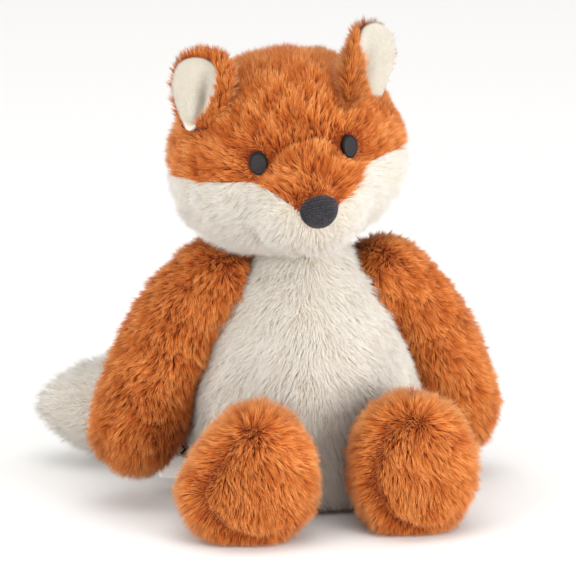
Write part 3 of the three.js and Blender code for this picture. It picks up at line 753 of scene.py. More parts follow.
# %% [markdown]
# Each panel of the skin needs its region of a form, its colour and the way its pile was brushed.
# Brushing is a direction in space that is laid flat onto the cloth: down the body and the arms,
# out from the nose over the face, and round a whorl on each foot. A combed guide curve for each
# tuft would do as well, but a direction in space needs no drawing by hand.


# %% Brushing directions
WHORL_FADE, BELLY_SEAM, BELLY_ASIDE = 5 * MM, 10 * MM, 0.5


def toward(direction):
    """The same direction everywhere."""
    return lambda points, normals: unit(np.array(direction, float) + 0 * points)


def away_from(place, down_share=0.3):
    """Away from a point, as pile lies round a whorl, with some weight pulling it down. Close to
    the point the direction fades, so that no bare spot opens there."""
    def flow(points, normals):
        gap = points - place
        reach = np.linalg.norm(gap, axis=-1, keepdims=True) + WHORL_FADE
        return gap / reach - np.array([0, 0, down_share])
    return flow


def pushed(flow, push):
    """A brushing direction with a push added to it."""
    return lambda points, normals: flow(points, normals) + push(points)


def parted(points, normals):
    """Down the belly and away from its middle seam."""
    aside = np.tanh(points[:, :1] / BELLY_SEAM) * np.array([[BELLY_ASIDE, 0, 0]])
    return unit(aside + np.array([0, 0, -1.0]))


print("whorls fade within", WHORL_FADE, "m")

# %% [markdown]
# Cloth that stays inside a neighbour, such as the root of an arm inside the shoulder, needs no
# pile. One test tells how deep a point lies inside a form, and the seams are planes or, on the
# head, a line that was read from the photo: where orange turns to cream it hangs lower on the
# fox's left.

# %% Regions
SEAM_BACK, SEAT_TOP, HEAD_SEAM, TAIL_SEAM = mm(6, 3.5, 14, 44)
CHEEK_EDGE = np.array([
    (-1.3, -0.06), (-0.56, -0.02), (-0.45, -0.04), (-0.3, -0.2), (-0.14, -0.36), (0, -0.52), (0.14, -0.38),
    (0.3, -0.29), (0.45, -0.13), (0.56, -0.06), (1.3, -0.11),
]) * HEAD_SIZE[[0, 2]] / 2


def depth_inside(form, points):
    """How far points lie inside a form, about: the ring's half width times one minus the share
    of it at which the point lies."""
    flat = form.inward(points)
    along = (flat[:, 2] - form.start) / form.length
    girth, side, aside = (np.interp(along, form.table[:, 0], form.table[:, i]) for i in (1, 2, 3))
    x = (flat[:, 0] - side * form.width) / (form.width / 2)
    y = (flat[:, 1] - aside * form.depth) / (form.depth / 2)
    inside = (girth - np.hypot(x, y)) * min(form.width, form.depth) / 2
    return np.where((along > 0) & (along < 1), inside, -1)


def clear_of(form, *neighbours, depth=5):
    """A test for places of a form that are not deeper than a depth inside its neighbours."""
    def test(points):
        placed = form.world(points)
        return np.all([depth_inside(forms[name], placed) < depth * MM for name in neighbours], axis=0)
    return test


def whole(points):
    """Every place of a form."""
    return np.ones(len(points), bool)


def cheek(points):
    """Below the edge between orange and cream, and before the seam over the head."""
    edge = np.interp(points[:, 0], CHEEK_EDGE[:, 0], CHEEK_EDGE[:, 1])
    return (points[:, 2] < edge) & (points[:, 1] < HEAD_SEAM)


def front(points):
    """Before the side seams of the body and above its seat."""
    return (points[:, 1] <= SEAM_BACK) & (points[:, 2] >= SEAT_TOP)


print("seams of belly, seat, head and tail", SEAM_BACK, SEAT_TOP, HEAD_SEAM, TAIL_SEAM)


# %% Places of eyes and nose
EYE_SPACING, EYE_SHIFT, EYE_RISE = mm(51, -0.5, 8.5)
EYE_TURN, EYE_SIZE = {"left": 27 * DEG, "right": 20 * DEG}, mm(10, 4, 13)


def eye_place(side):
    """Where the head's ellipsoid passes at an eye's distance aside and above its middle."""
    x, z = side * EYE_SPACING / 2 + EYE_SHIFT, EYE_RISE
    rest = 1 - (2 * x / HEAD_SIZE[0])**2 - (2 * z / HEAD_SIZE[2])**2
    return np.array([x, -HEAD_SIZE[1] / 2 * np.sqrt(rest), z])


def off_eyes(points):
    """Leaves the ovals of the eyes bare."""
    bare = np.zeros(len(points), bool)
    for side in SIDES.values():
        gap = (points - eye_place(side)) / (EYE_SIZE / 2)
        bare |= (gap[:, 0]**2 + gap[:, 2]**2 < 1) & (points[:, 1] < 0)
    return ~bare


torso, tail = forms["torso"], forms["tail"]
nose_place = mm(0, -62, -20)
nose_world = head.world(nose_place)
eyes_world = [head.world(eye_place(side)) for side in SIDES.values()]
print("nose at", nose_world.round(4))

# %% [markdown]
# A plush toy is trimmed and combed: the pile is short round the eyes, by the nose and in the crease
# over the muzzle, flattened where the label would be lost in it, and full at the jaw. A trim is a
# factor on the length of the hair at a place, made of bell curves of the distance from a spot.
# Shorter pile is also painted darker, so a trim paints shade into its creases and hollows.

# %% Trims of body and arms
EAR_PLACES = {"left": mm(44, -18, 19.5), "right": mm(-52, -18, 24.5)}
EAR_ROOT_SHARES = [0.98, 1.3, 1.1]
TIE_PLACE, LABEL_MIDDLE, SHOULDER_SIDE = mm([-64.5, -3, 29], [-66, 6, 14], [80, 0, 113])
TEMPLE, JAW = head.world(mm([60, -8, 10], [-46, -12, -32]))
ear_roots = [head.world(place * EAR_ROOT_SHARES) for place in EAR_PLACES.values()]
# A spot's middle, how much shorter the pile is there, or longer below nought, and its reach.
SPOTS = {"shoulder": (SHOULDER_SIDE, 0.42, 28 * MM), "temple": (TEMPLE, 0.45, 14 * MM),
         "jaw": (JAW, -0.75, 17 * MM)}


def gap_to(points, *places):
    """Distance to the nearest of some places."""
    return np.min([np.linalg.norm(points - place, axis=1) for place in places], axis=0)


def bell(gap, reach):
    """One where the gap is nought, falling as e to the minus square of its share of the reach."""
    return np.exp(-(gap / reach)**2)


def ease(gap, start, reach, least):
    """A straight rise from a least value to one, over a reach in millimetres from a start."""
    return np.clip((gap - start * MM) / (reach * MM), least, 1)


def spot(points, name):
    """A factor on the pile's length: one minus the spot's share times its bell curve."""
    middle, shorter, reach = SPOTS[name]
    return 1 - shorter * bell(gap_to(points, middle), reach)


def label_trim(points):
    """Pile flattened round the tie and the label, which would be lost in it."""
    return ease(gap_to(points, TIE_PLACE, LABEL_MIDDLE), 3, 9, 0.25)


def arm_trim(points):
    """The label's trim, and shorter pile on the outer side of the left shoulder."""
    return label_trim(points) * spot(points, "shoulder")


print("label at", LABEL_MIDDLE, "tie at", TIE_PLACE)

# %% Trims of face and ears
# How far outside the muzzle it lies and reaches, in shares of its radius, and how strong it is.
CREASE, SWELL = (0.1, 0.06, 0.7), (-0.08, 0.1, 0.35)


def face_trim(points):
    """Short round the eyes and by the nose. Over the muzzle a bell curve of how far a place lies
    outside it makes a crease of short pile, and another before it a swell of longer pile."""
    near_eye = ease(gap_to(points, *eyes_world), 5, 11, 0.2)
    near_nose = ease(gap_to(points, nose_world), 6, 15, 0.3)
    flat = head.inward(points)
    high = np.clip(flat[:, 2] / (8 * MM) + 0.7, 0, 1)
    outside = np.linalg.norm((flat - MUZZLE_PLACE) / (MUZZLE_SIZE / 2), axis=1) - 1
    dip, swell = (strength * bell(outside - at, reach) for at, reach, strength in (CREASE, SWELL))
    return np.minimum(near_eye, near_nose) * (1 - high * (dip - swell))


def ear_trim(points):
    """The face's trim, with the pile combed down before the ears and on the left temple."""
    return face_trim(points) * ease(gap_to(points, *ear_roots), 0, 14, 0.4) * spot(points, "temple")


def jaw_trim(points):
    """The face's trim, with longer pile at the corner of the jaw on the fox's right."""
    return face_trim(points) * spot(points, "jaw")


print("crease over the muzzle", CREASE, "swell before it", SWELL)

# %% Seams of the soles and brushing of the face
GROOVE_SHORT, GROOVE_REACH, TOP_LONG = 0.85, 3.2 * MM, 0.75
PART_STEP, PART_REACH, PART_PUSH = 1.5 * MM, 7 * MM, 3
EYE_PUSH, EYE_REACH, FACE_LIFT = 1.3, 8 * MM, 0.15


def sole_groove(leg, seam):
    """The trim and the push of the pile along a sole's seam: within a few millimetres of it the
    pile is short, painted darker as painted shade in the seam, and leans away to either side. On
    top of the foot it is longer."""
    def gap_and_share(points):
        flat = leg.inward(points)
        aside, up = flat[:, 0] * leg.matrix[0, 0], flat[:, 1] * leg.matrix[2, 1]
        radius = np.maximum(np.hypot(aside, up), 1e-6)
        return flat[:, 2] - seam, seam_share(aside / radius, up / radius), up / radius

    def trim(points):
        gap, share, rise = gap_and_share(points)
        shorter = 1 - GROOVE_SHORT * share * bell(gap, GROOVE_REACH)
        return shorter * (1 + TOP_LONG * np.clip(rise - 0.6, 0, 1))

    def push(points):
        gap, share, rise = gap_and_share(points)
        away = np.tanh(gap / PART_STEP) * bell(gap, PART_REACH) * share
        return PART_PUSH * away[:, None] * leg.matrix[:3, 2]
    return trim, push


def face_flow(points, normals):
    """Away from the nose, and close to an eye away from the eye as well."""
    flow = unit(points - nose_world) + np.array([0, 0, FACE_LIFT])
    for eye in eyes_world:
        flow = flow + EYE_PUSH * bell(gap_to(points, eye), EYE_REACH)[:, None] * unit(points - eye)
    return unit(flow)


print("groove reaches", GROOVE_REACH, "and parts the pile within", PART_REACH)

# %% [markdown]
# The panels follow the seams of the frame. Belly, cheeks and tail tip are cream, the rest orange.
# A panel is a row of the table: its node, form, region, the places that stay bare, its colour, the
# way it is brushed and how its pile differs from the usual. One table is easier to keep true to
# the seams than a block of code for each panel.

# %% Panels of body, head and tail
LIMBS = ("arm_left", "arm_right", "leg_left", "leg_right", "tail")
open_torso, open_head = clear_of(torso, *LIMBS, "head"), clear_of(head, "torso", depth=4)
open_tail = clear_of(tail, "torso")
BELLY = dict(density=230, length=9, lean=65, tuft=3, pull=0.42, stray=0.25, ruffle=0.38, patch=0.1,
             trim=label_trim)
FACE = dict(density=345, length=7.5, width=0.4, tuft=2.2, patch=0.5, trim=ear_trim)
CHEEK = dict(density=290, length=8, lean=50, pull=0.36, patch=0.1, trim=jaw_trim)
# The third number raises the tint of the feet's pile: painted light, as if more light fell on the feet.
WHORL_BACK, WHORL_UP, FOOT_PAINTED_LIGHT = 14, 27, 0.14
down, out_from_nose, along_tail = toward((0, 0, -1)), away_from(nose_world, 0.45), toward(tail.matrix[:3, 2])
PANELS = [
    ("torso_back", torso, lambda p: ~front(p), open_torso, "orange", down,
     dict(density=134, trim=label_trim)),
    ("belly_left", torso, lambda p: front(p) & (p[:, 0] > 0), open_torso, "cream", parted, BELLY),
    ("belly_right", torso, lambda p: front(p) & (p[:, 0] <= 0), open_torso, "cream", parted, BELLY),
    ("head_back", head, lambda p: p[:, 1] >= HEAD_SEAM, open_head, "orange", away_from(nose_world, 0.5),
     dict(density=138)),
    ("head_face", head, lambda p: (p[:, 1] < HEAD_SEAM) & ~cheek(p), lambda p: open_head(p) & off_eyes(p),
     "orange", face_flow, FACE),
    ("cheek_left", head, lambda p: cheek(p) & (p[:, 0] > 0), open_head, "cream", out_from_nose, CHEEK),
    ("cheek_right", head, lambda p: cheek(p) & (p[:, 0] <= 0), open_head, "cream", out_from_nose, CHEEK),
    ("tail_base", tail, lambda p: p[:, 2] < TAIL_SEAM, open_tail, "orange", along_tail, dict(density=150)),
    ("tail_tip", tail, lambda p: p[:, 2] >= TAIL_SEAM, open_tail, "cream", along_tail,
     dict(density=195, length=10, lean=55)),
]
print("panels so far", len(PANELS))

# %% Panels of arms and legs
for name, side in SIDES.items():
    arm, leg = forms[f"arm_{name}"], forms[f"leg_{name}"]
    sole = (LEG_REACH[name] - SOLE_DEPTH) * MM
    whorl = leg.world(mm(0, 0, LEG_REACH[name] - WHORL_BACK)) + mm(0, 0, WHORL_UP)
    groove, push = sole_groove(leg, sole)
    swirl, foot = pushed(away_from(whorl, 0.35), push), dict(light=FOOT_PAINTED_LIGHT, trim=groove)
    hang = toward(unit(arm.matrix[:3, 2] + np.array([0, 0, -0.3])))
    open_arm, open_leg = clear_of(arm, "torso"), clear_of(leg, "torso")
    PANELS += [
        (f"arm_{name}_skin", arm, whole, open_arm, "orange", hang, dict(trim=arm_trim)),
        (f"leg_{name}_skin", leg, lambda p, sole=sole: p[:, 2] < sole, open_leg, "orange", swirl, foot),
        (f"leg_{name}_sole", leg, lambda p, sole=sole: p[:, 2] >= sole, open_leg, "orange", swirl, foot),
    ]
print("panels in all", len(PANELS))

# %% Make the panels
bodies = frame["record"]["behaviour"]["bodies"]
body_of_node = {node: body for body, nodes in bodies.items() for node in nodes}


def make_panel(name, form, region, clear, colour, flow, sizes):
    """Backing and pile of one panel. Returns the number of its hairs."""
    hairs = pile(form, lambda p: region(p) & clear(p), flow, **sizes)
    mesh = joined_mesh(f"{name}_fur", backing(form, region), hairs, piles[colour])
    add_piece(f"{name}_fur", mesh, body_of_node[name], name)
    return len(hairs[1]) // 4


counts = {panel[0]: make_panel(*panel) for panel in PANELS}
print("hairs", counts, "in all", sum(counts.values()))

# %% [markdown]
# An ear is a small flat cushion: fur on its back and rim, and a dished oval of short pile set into
# its open side. Its form is the same kind of swollen form, thin, with its edges bent forward. The
# left ear is gathered to the crown at its root, where its pile is longest. A cloth simulation
# could fold the ears, but the folds that show are few and are set more surely one by one.

# %% Forms of the ears
EAR_SHARES = {
    "left": [(0, 1, -0.27), (0.16, 1.04, -0.25), (0.42, 1.09, -0.14), (0.64, 1.05, -0.05),
             (0.84, 0.88, -0.01), (0.99, 0.5), (1.03, 0)],
    "right": [(0, 0.54), (0.16, 0.66), (0.42, 0.92), (0.64, 1), (0.83, 0.86), (0.96, 0.5), (1, 0)],
}
LINING_SHARES = [
    (0, 0.1), (0.12, 0.38), (0.3, 0.7), (0.5, 0.94), (0.66, 1), (0.82, 0.92), (0.93, 0.66),
    (0.985, 0.3), (1, 0),
]
EAR_SIZE = mm(33, 8, 43)
EAR_LEAN, EAR_OUT, EAR_TIP = 14 * DEG, 36 * DEG, -8 * DEG
LINING_SIZES = {"left": mm(30, 4.4, 48), "right": mm(26.3, 4.4, 40.5)}
LINING_UP, LINING_ASIDE = {"left": -1.5 * MM, "right": -0.5 * MM}, {"left": 1 * MM, "right": 3.4 * MM}
LINING_FORWARD, CUP, DISH = 3.2 * MM, 3 * MM, 5.8 * MM
VALLEY_ASIDE, VALLEY_WIDE, VALLEY_UP, VALLEY_TALL = 0.38, 0.3, 0.45, 0.32
TUFT_EXTRA = {"left": 1.3, "right": 0.35}
TUFT_ASIDE, TUFT_UP, TUFT_REACH = 17, 15, 13 * MM
OPEN_SIDE, LINING_HEM, LINING_TOP = 0.6 * MM, 0.8 * MM, 0.97


def cup(x):
    """How far a place aside of the ear's middle line comes forward: by the square of its share."""
    return CUP * ((x / (EAR_SIZE[0] / 2))**2 - 0.3)


def cupped(points):
    """Bends the ear round its middle line."""
    return np.stack([points[..., 0], points[..., 1] - cup(points[..., 0]), points[..., 2]], -1)


def lining_bend(name, side):
    """Cups the lining with the ear and sinks it along a soft valley nearer to the crown."""
    def bend(points):
        share = points[..., 0] / (LINING_SIZES[name][0] / 2)
        up = points[..., 2] / LINING_SIZES[name][2]
        valley = bell(share * side + VALLEY_ASIDE, VALLEY_WIDE) * bell(up - VALLEY_UP, VALLEY_TALL)
        moved = points + np.array([side * LINING_ASIDE[name], 0, LINING_UP[name]])
        return cupped(moved) + np.stack([0 * share, DISH * valley - LINING_FORWARD, 0 * share], -1)
    return bend


def ear_matrix(name, side):
    """The head's frame, moved to the ear's root, leant over, turned outward and tipped back."""
    root = head_matrix @ shift(*EAR_PLACES[name])
    return root @ turn((0, 1, 0), EAR_LEAN) @ turn((0, 0, 1), side * EAR_OUT) @ turn((1, 0, 0), EAR_TIP)


def ear_tuft(name, side, outer):
    """Longer pile at the root of an ear on its crown side, fuller on the left ear."""
    place = outer.world(mm(-side * TUFT_ASIDE, 0, TUFT_UP))
    return lambda points: 1 + TUFT_EXTRA[name] * bell(gap_to(points, place), TUFT_REACH)


def in_lining(name, side):
    """A test for the part of the open side that the lining covers."""
    def test(points):
        share = (points[:, 2] - LINING_UP[name]) / LINING_SIZES[name][2]
        half = np.interp(share, *np.transpose(LINING_SHARES)) * LINING_SIZES[name][0] / 2
        aside = np.abs(points[:, 0] - side * LINING_ASIDE[name])
        before = points[:, 1] + cup(points[:, 0]) < OPEN_SIDE
        return before & (aside < half - LINING_HEM) & (share < LINING_TOP)
    return test


print("ears", EAR_SIZE, "linings", LINING_SIZES)

# %% Ears and their linings
EAR_PILE = dict(density=460, length=6.5, lean=45, tuft=2.2, ruffle=0.3)
LINING_PILE = dict(density=620, length=0.8, width=0.36, lean=45, tuft=2, pull=0.2, sunk=0.1, ruffle=0.3)
EAR_HEM, WHORL_ASIDE, WHORL_BELOW = 2 * MM, 3, 16


def make_ear(name, side):
    """The furry ear with its backing left open for the lining, and the lining set into it."""
    matrix, lined = ear_matrix(name, side), in_lining(name, side)
    outer = Form(EAR_SHARES[name], EAR_SIZE[2], EAR_SIZE[0], EAR_SIZE[1], 0, matrix, cupped)
    brushed = away_from(outer.world(mm(-side * WHORL_ASIDE, 0, -WHORL_BELOW)), 0)
    hairs = pile(outer, lambda p: ~lined(p) & (p[:, 2] > EAR_HEM), brushed,
                 trim=ear_tuft(name, side, outer), **EAR_PILE)
    ground = backing(outer, lambda p: ~lined(p), 40, 56, thick=1.0)
    mesh = joined_mesh(f"ear_{name}_fur", ground, hairs, piles["orange"])
    add_piece(f"ear_{name}_fur", mesh, f"ear_{name}", f"ear_{name}_outer")
    wide, thick, tall = LINING_SIZES[name]
    pad = Form(LINING_SHARES, tall, wide, thick, 0, matrix, lining_bend(name, side))
    hairs = pile(pad, lambda p: p[:, 2] > 0, down, **LINING_PILE)
    ground = backing(pad, whole, 40, 48, thick=0.6)
    mesh = joined_mesh(f"ear_{name}_lining_pile", ground, hairs, piles["lining"])
    add_piece(f"ear_{name}_lining_pile", mesh, f"ear_{name}", f"ear_{name}_lining")


for name, side in SIDES.items():
    make_ear(name, side)
print("ears made")

# %% [markdown]
# The nose is a ball of dark, short and dense plush sewn onto the tip of the muzzle. Its pile stands
# in fine rows, as knitted plush does. A bump could draw them, but trimming the pile leaves them in
# the mesh.

# %% Nose
NOSE_SHARES = [
    (0, 0), (0.03, 0.32), (0.12, 0.6), (0.3, 0.87), (0.54, 1), (0.74, 0.96), (0.9, 0.7),
    (0.975, 0.38), (1, 0),
]
NOSE_SIZE, NOSE_ASIDE = mm(21.2, 13.5, 18.5), 0.6 * MM
NOSE_ROWS, ROW_BEND, ROW_DEPTH = 1.3 * MM, 18, 0.35
NOSE_SEAM, SEAM_DEPTH, NOSE_LEVEL = 0.5 * MM, 0.6, 0.75
NOSE_PILE = dict(density=1800, length=0.9, width=0.24, lean=40, tuft=1, pull=0.3, stray=0.3, sunk=0.1,
                 ruffle=0.2)
before_nose = head.world(mm(0, -80, -19))
nose_matrix = head_matrix @ shift(*nose_place) @ shift(NOSE_ASIDE, 0, 0)
nose = Form(NOSE_SHARES, NOSE_SIZE[2], NOSE_SIZE[0], NOSE_SIZE[1], -NOSE_SIZE[2] / 2, nose_matrix)


def nose_trim(points):
    """Rows of short pile by the cosine of the height, curved like the rim, and a seam up from the
    lower rim."""
    flat = nose.inward(points)
    rows = np.cos(2 * np.pi * (flat[:, 2] + flat[:, 0]**2 * ROW_BEND) / NOSE_ROWS)
    seam = bell(flat[:, 0], NOSE_SEAM) * (flat[:, 2] < 0)
    return np.clip(NOSE_LEVEL + ROW_DEPTH * rows - SEAM_DEPTH * seam, 0.2, 1.1)


hairs = pile(nose, whole, away_from(before_nose, 0), trim=nose_trim, **NOSE_PILE)
ground = backing(nose, whole, 24, 32, sunk=0, thick=0.8)
mesh = joined_mesh("nose_plush", ground, hairs, piles["nose"])
add_piece("nose_plush", mesh, "head", "nose")
print("nose", NOSE_SIZE)

# %% [markdown]
# Each eye is an oval of satin stitch: threads laid side by side across a low dome, with a raised,
# darker rim of shorter stitches round it. Each thread could be a tube of its own, but on a piece
# of 10 by 13 mm ridges in one surface show the same and stay light.

# %% Eyes
EYE_RINGS, EYE_SPOKES = 44, 144
EYE_DOME, THREAD_RISE, ROPE_RISE, EYE_BACK = 1.3, 0.07, 0.6, 1.5 * MM
THREAD_PITCH, ROPE_STITCHES, ROPE_START, ROPE_MIDDLE = 0.7 * MM, 44, 0.8, 0.9
# The thread's colour follows its height: darker down between the threads as painted shade, lighter on their
# crowns as painted highlight.
EYE_COLOURS = [(0, "#040304"), (0.25, "#0b090a"), (0.45, "#1d191b"), (1, "#3a3438")]
eye_thread, shader, flow = new_material("eye_thread", 0.6, 0.3)
ramp(flow, fur_numbers(flow)[1], EYE_COLOURS).feed(shader.inputs["Base Color"])


def eye_dome():
    """Points of the eye and the height of its threads: rings from the middle out, raised by a flat
    arch, by the cosine across the threads and by a rope of slanted stitches at the rim, then the
    rim again behind and a last point in the middle of the back."""
    shares, angles = np.linspace(0, 1, EYE_RINGS), np.arange(EYE_SPOKES) / EYE_SPOKES * 2 * np.pi
    r, a = np.meshgrid(shares, angles, indexing="ij")
    x, z = r * np.cos(a), r * np.sin(a)
    across = (z * EYE_SIZE[2] + 0.15 * x * EYE_SIZE[0]) / 2
    thread = np.cos(2 * np.pi * across / THREAD_PITCH) * (r < ROPE_START)
    rope = bell(r - ROPE_MIDDLE, 0.07) * (0.85 + 0.15 * np.cos(a * ROPE_STITCHES + 9 * r))
    arch = EYE_DOME * np.sqrt(np.maximum(1 - 0.9 * r**2, 0))
    out = (arch + THREAD_RISE * thread + ROPE_RISE * rope) * MM
    points = np.stack([x * EYE_SIZE[0] / 2, -out, z * EYE_SIZE[2] / 2], -1).reshape(-1, 3)
    behind = points[-EYE_SPOKES:] * [1.0, 0, 1.0] + [0, EYE_BACK, 0]
    height = ((thread * 0.3 + 0.55) * (r < ROPE_START) + 0.12 * rope).reshape(-1)
    points = np.concatenate([points, behind, [[0, EYE_BACK, 0]]])
    return points, np.concatenate([height, np.zeros(EYE_SPOKES + 1)])


def make_eye(name, side):
    """Sews the rings up with four-sided faces and closes both ends with triangles. The map's
    second number is the height of the thread, from which the material takes its colour: painted
    shade down between the threads and painted highlight on their crowns."""
    points, height = eye_dome()
    index = np.arange(len(points) - 1).reshape(EYE_RINGS + 1, EYE_SPOKES)
    nxt = np.roll(index, -1, 1)
    quads = np.stack([index[2:], nxt[2:], nxt[1:-1], index[1:-1]], -1).reshape(-1, 4)
    middle = np.stack([index[1], nxt[1], 0 * index[1]], -1)
    rear = np.stack([nxt[-1], index[-1], 0 * index[-1] + index.size], -1)
    matrix = head_matrix @ shift(*eye_place(side)) @ turn((0, 0, 1), side * EYE_TURN[name])
    points = points @ matrix[:3, :3].T + matrix[:3, 3]
    mesh = bpy.data.meshes.new(f"eye_{name}_stitching")
    mesh.from_pydata(points.tolist(), [], quads.tolist() + middle.tolist() + rear.tolist())
    shade = np.clip(height, 0.02, 0.98)[np.concatenate([quads.ravel(), middle.ravel(), rear.ravel()])]
    dress(mesh, np.stack([0.5 + 0 * shade, shade], -1), eye_thread)
    add_piece(f"eye_{name}_stitching", mesh, "head", f"eye_{name}")


for name, side in SIDES.items():
    make_eye(name, side)
print("eyes", EYE_SIZE)

# %% [markdown]
# Filling, pouch and tie are smooth closed surfaces. Each is one or more grids of rings with a pole
# at either end, which one function turns into a mesh with its faces outward. A metaball could
# melt such pieces together too, but its surface would change with its neighbours.


# %% Closed surfaces
SHADE_WAVE = 0.25


def closed_mesh(name, grids, material, tint):
    """One mesh of closed grids of rings. Each grid is rings by corners; its poles are the middles
    of its first and last ring. A grid whose signed volume is negative is turned outward. The map's
    second number is the tint, made uneven by smooth noise."""
    points, faces = [], []
    base = 0
    for grid in grids:
        rows, turns = grid.shape[:2]
        flat = np.concatenate([grid.reshape(-1, 3), [grid[0].mean(0)], [grid[-1].mean(0)]])
        index = np.arange(rows * turns).reshape(rows, turns)
        nxt = np.roll(index, -1, 1)
        quads = np.stack([index[:-1], nxt[:-1], nxt[1:], index[1:]], -1).reshape(-1, 4)
        first, last = rows * turns + 0 * index[0], rows * turns + 1 + 0 * index[0]
        near_cap = np.stack([nxt[0], index[0], first], -1)
        far_cap = np.stack([index[-1], nxt[-1], last], -1)
        sides = np.concatenate([quads[:, [0, 1, 2]], quads[:, [0, 2, 3]], near_cap, far_cap])
        a, b, c = flat[sides[:, 0]], flat[sides[:, 1]], flat[sides[:, 2]]
        if (a * np.cross(b, c)).sum() < 0:
            sides = sides[:, ::-1]
        points.append(flat)
        faces.append(sides + base)
        base += len(flat)
    points, faces = np.concatenate(points), np.concatenate(faces)
    mesh = bpy.data.meshes.new(name)
    mesh.from_pydata(points.tolist(), [], faces.tolist())
    shade = np.clip(tint + SHADE_WAVE * waves(points, "shade")[:, 0], 0.02, 0.98)[faces.ravel()]
    dress(mesh, np.stack([0.5 + 0.4 * shade, shade], -1), material)
    return mesh


print("closed surfaces vary their tint by", SHADE_WAVE)

# %% [markdown]
# Inside the skin lie the loose filling, the pouch of pellets and the wad in the neck. Nobody sees
# them until a seam opens, but the frame has them, so each gets its own soft, lumpy surface. Loose
# fibres would weigh as much as the pile and never be seen.

# %% Filling and pouch
SKIN, FIBRE_LUMPS, POUCH_LUMPS = 3.4, 0.5, 0.7
ROOT_DENTS = {"arm_left_lift": 21, "arm_right_lift": 21, "leg_left_lift": 25, "leg_right_lift": 25,
              "tail_swing": 18}
FILL_TINTS = {"fill": 0.5, "pouch": 0.4, "orange": 0.2}
NECK_DENT = 34
POUCH_SIZE, POUCH_LIFT = mm(62, 46, 24), 5 * MM


def filling_grid(form, inset, lumps, rows=44, turns=48):
    """The form pressed in by an inset, with low lumps of fibre pushed out of it."""
    u, v = np.meshgrid(np.linspace(0.01, 0.99, rows), np.arange(turns) / turns, indexing="ij")
    points, normals = form.surface(u, v)
    lump = lumps * MM * waves(points.reshape(-1, 3), "lump")[:, 0].reshape(rows, turns)
    return points + normals * (lump - inset * MM)[..., None]


def dented(points, balls):
    """Moves points that lie in a ball of some millimetres round a joint out to its surface."""
    for joint, radius in balls.items():
        gap = points - joint_places[joint]
        reach = np.linalg.norm(gap, axis=-1, keepdims=True)
        moved = joint_places[joint] + gap / np.maximum(reach, 1e-9) * radius * MM
        points = np.where(reach < radius * MM, moved, points)
    return points


def add_filling(node, suffix, grid, stuff):
    """A hidden soft piece of one closed grid, in the material of its stuff."""
    mesh = closed_mesh(node, [grid], piles[stuff], FILL_TINTS[stuff])
    add_piece(f"{node}_{suffix}", mesh, body_of_node[node], node)


dents = {"torso": ROOT_DENTS, "head": {"neck_turn": NECK_DENT}}
for name, form in forms.items():
    grid = dented(filling_grid(form, SKIN, FIBRE_LUMPS), dents.get(name, {}))
    add_filling(f"{name}_stuffing", "fibre", grid, "fill")
pouch_form = Form(NOSE_SHARES, POUCH_SIZE[2], POUCH_SIZE[0], POUCH_SIZE[1], POUCH_LIFT, np.eye(4))
add_filling("bean_pouch", "cloth", filling_grid(pouch_form, 0, POUCH_LUMPS), "pouch")
print("filling in", len(forms), "forms, pouch", POUCH_SIZE)

# %% [markdown]
# The head turns on a wad of filling in the neck and is sewn to a band of cloth. Both are caps of a
# hollow ball round the neck's joint, so that they slide on each other as the head moves. Any other
# shape would cut into its neighbour at some turn of the head.

# %% Neck
# Inner and outer radius in millimetres, and the angle from the top to the rim in degrees.
WAD, BAND = (25.45, 29.45, 52), (29.9, 32.4, 48)


def cap_grid(inner, outer, angle, rows=10, turns=40):
    """A cap of a spherical layer: out along the inner sphere to the rim, and back on the outer. A
    point is the radius times the sines and cosines of its lean from the top and its turn."""
    share = np.linspace(0.06, 1, rows) * angle * DEG
    radius = np.concatenate([np.full(rows, inner), np.full(rows, outer)]) * MM
    lean = np.concatenate([share, share[::-1]])[:, None]
    round_angle = np.arange(turns) / turns * 2 * np.pi
    x, y = np.sin(lean) * np.cos(round_angle), np.sin(lean) * np.sin(round_angle)
    return np.stack([x, y, np.cos(lean) + 0 * x], -1) * radius[:, None, None] + NECK


band_matrix = turn((0, 0, 1), HEAD_TURN) @ turn((0, 1, 0), HEAD_TILT)
band_grid = (cap_grid(*BAND) - NECK) @ band_matrix[:3, :3].T + NECK
add_filling("neck_wadding", "fibre", cap_grid(*WAD), "fill")
add_filling("neck_band", "cloth", band_grid, "orange")
print("neck wad and band", WAD, BAND)

# %% [markdown]
# In the side seam beside the right leg sit a folded satin label and a short black tie. The label
# is one ribbon: out from the seam, round the fold and back, a quarter of a millimetre thick. It
# leans back under the hand and curls a little. A cloth simulation would bring it to rest against
# the body by chance, while its place beside the foot is known.


# %% Label
def thread_cloth(name, scale, stops, roughness, swing=0.0):
    """Fine threads: a noise in object space varies the colour through a ramp and, where there is a
    swing, the roughness by a product and a sum."""
    material, shader, flow = new_material(name, roughness)
    place = flow.of(flow.node("ShaderNodeTexCoord"), "Object")
    threads = flow.of(flow.node("ShaderNodeTexNoise", None, Vector=place, Scale=scale), 0)
    ramp(flow, threads, stops).feed(shader.inputs["Base Color"])
    if swing:
        (threads * swing + roughness).feed(shader.inputs["Roughness"])
    return material


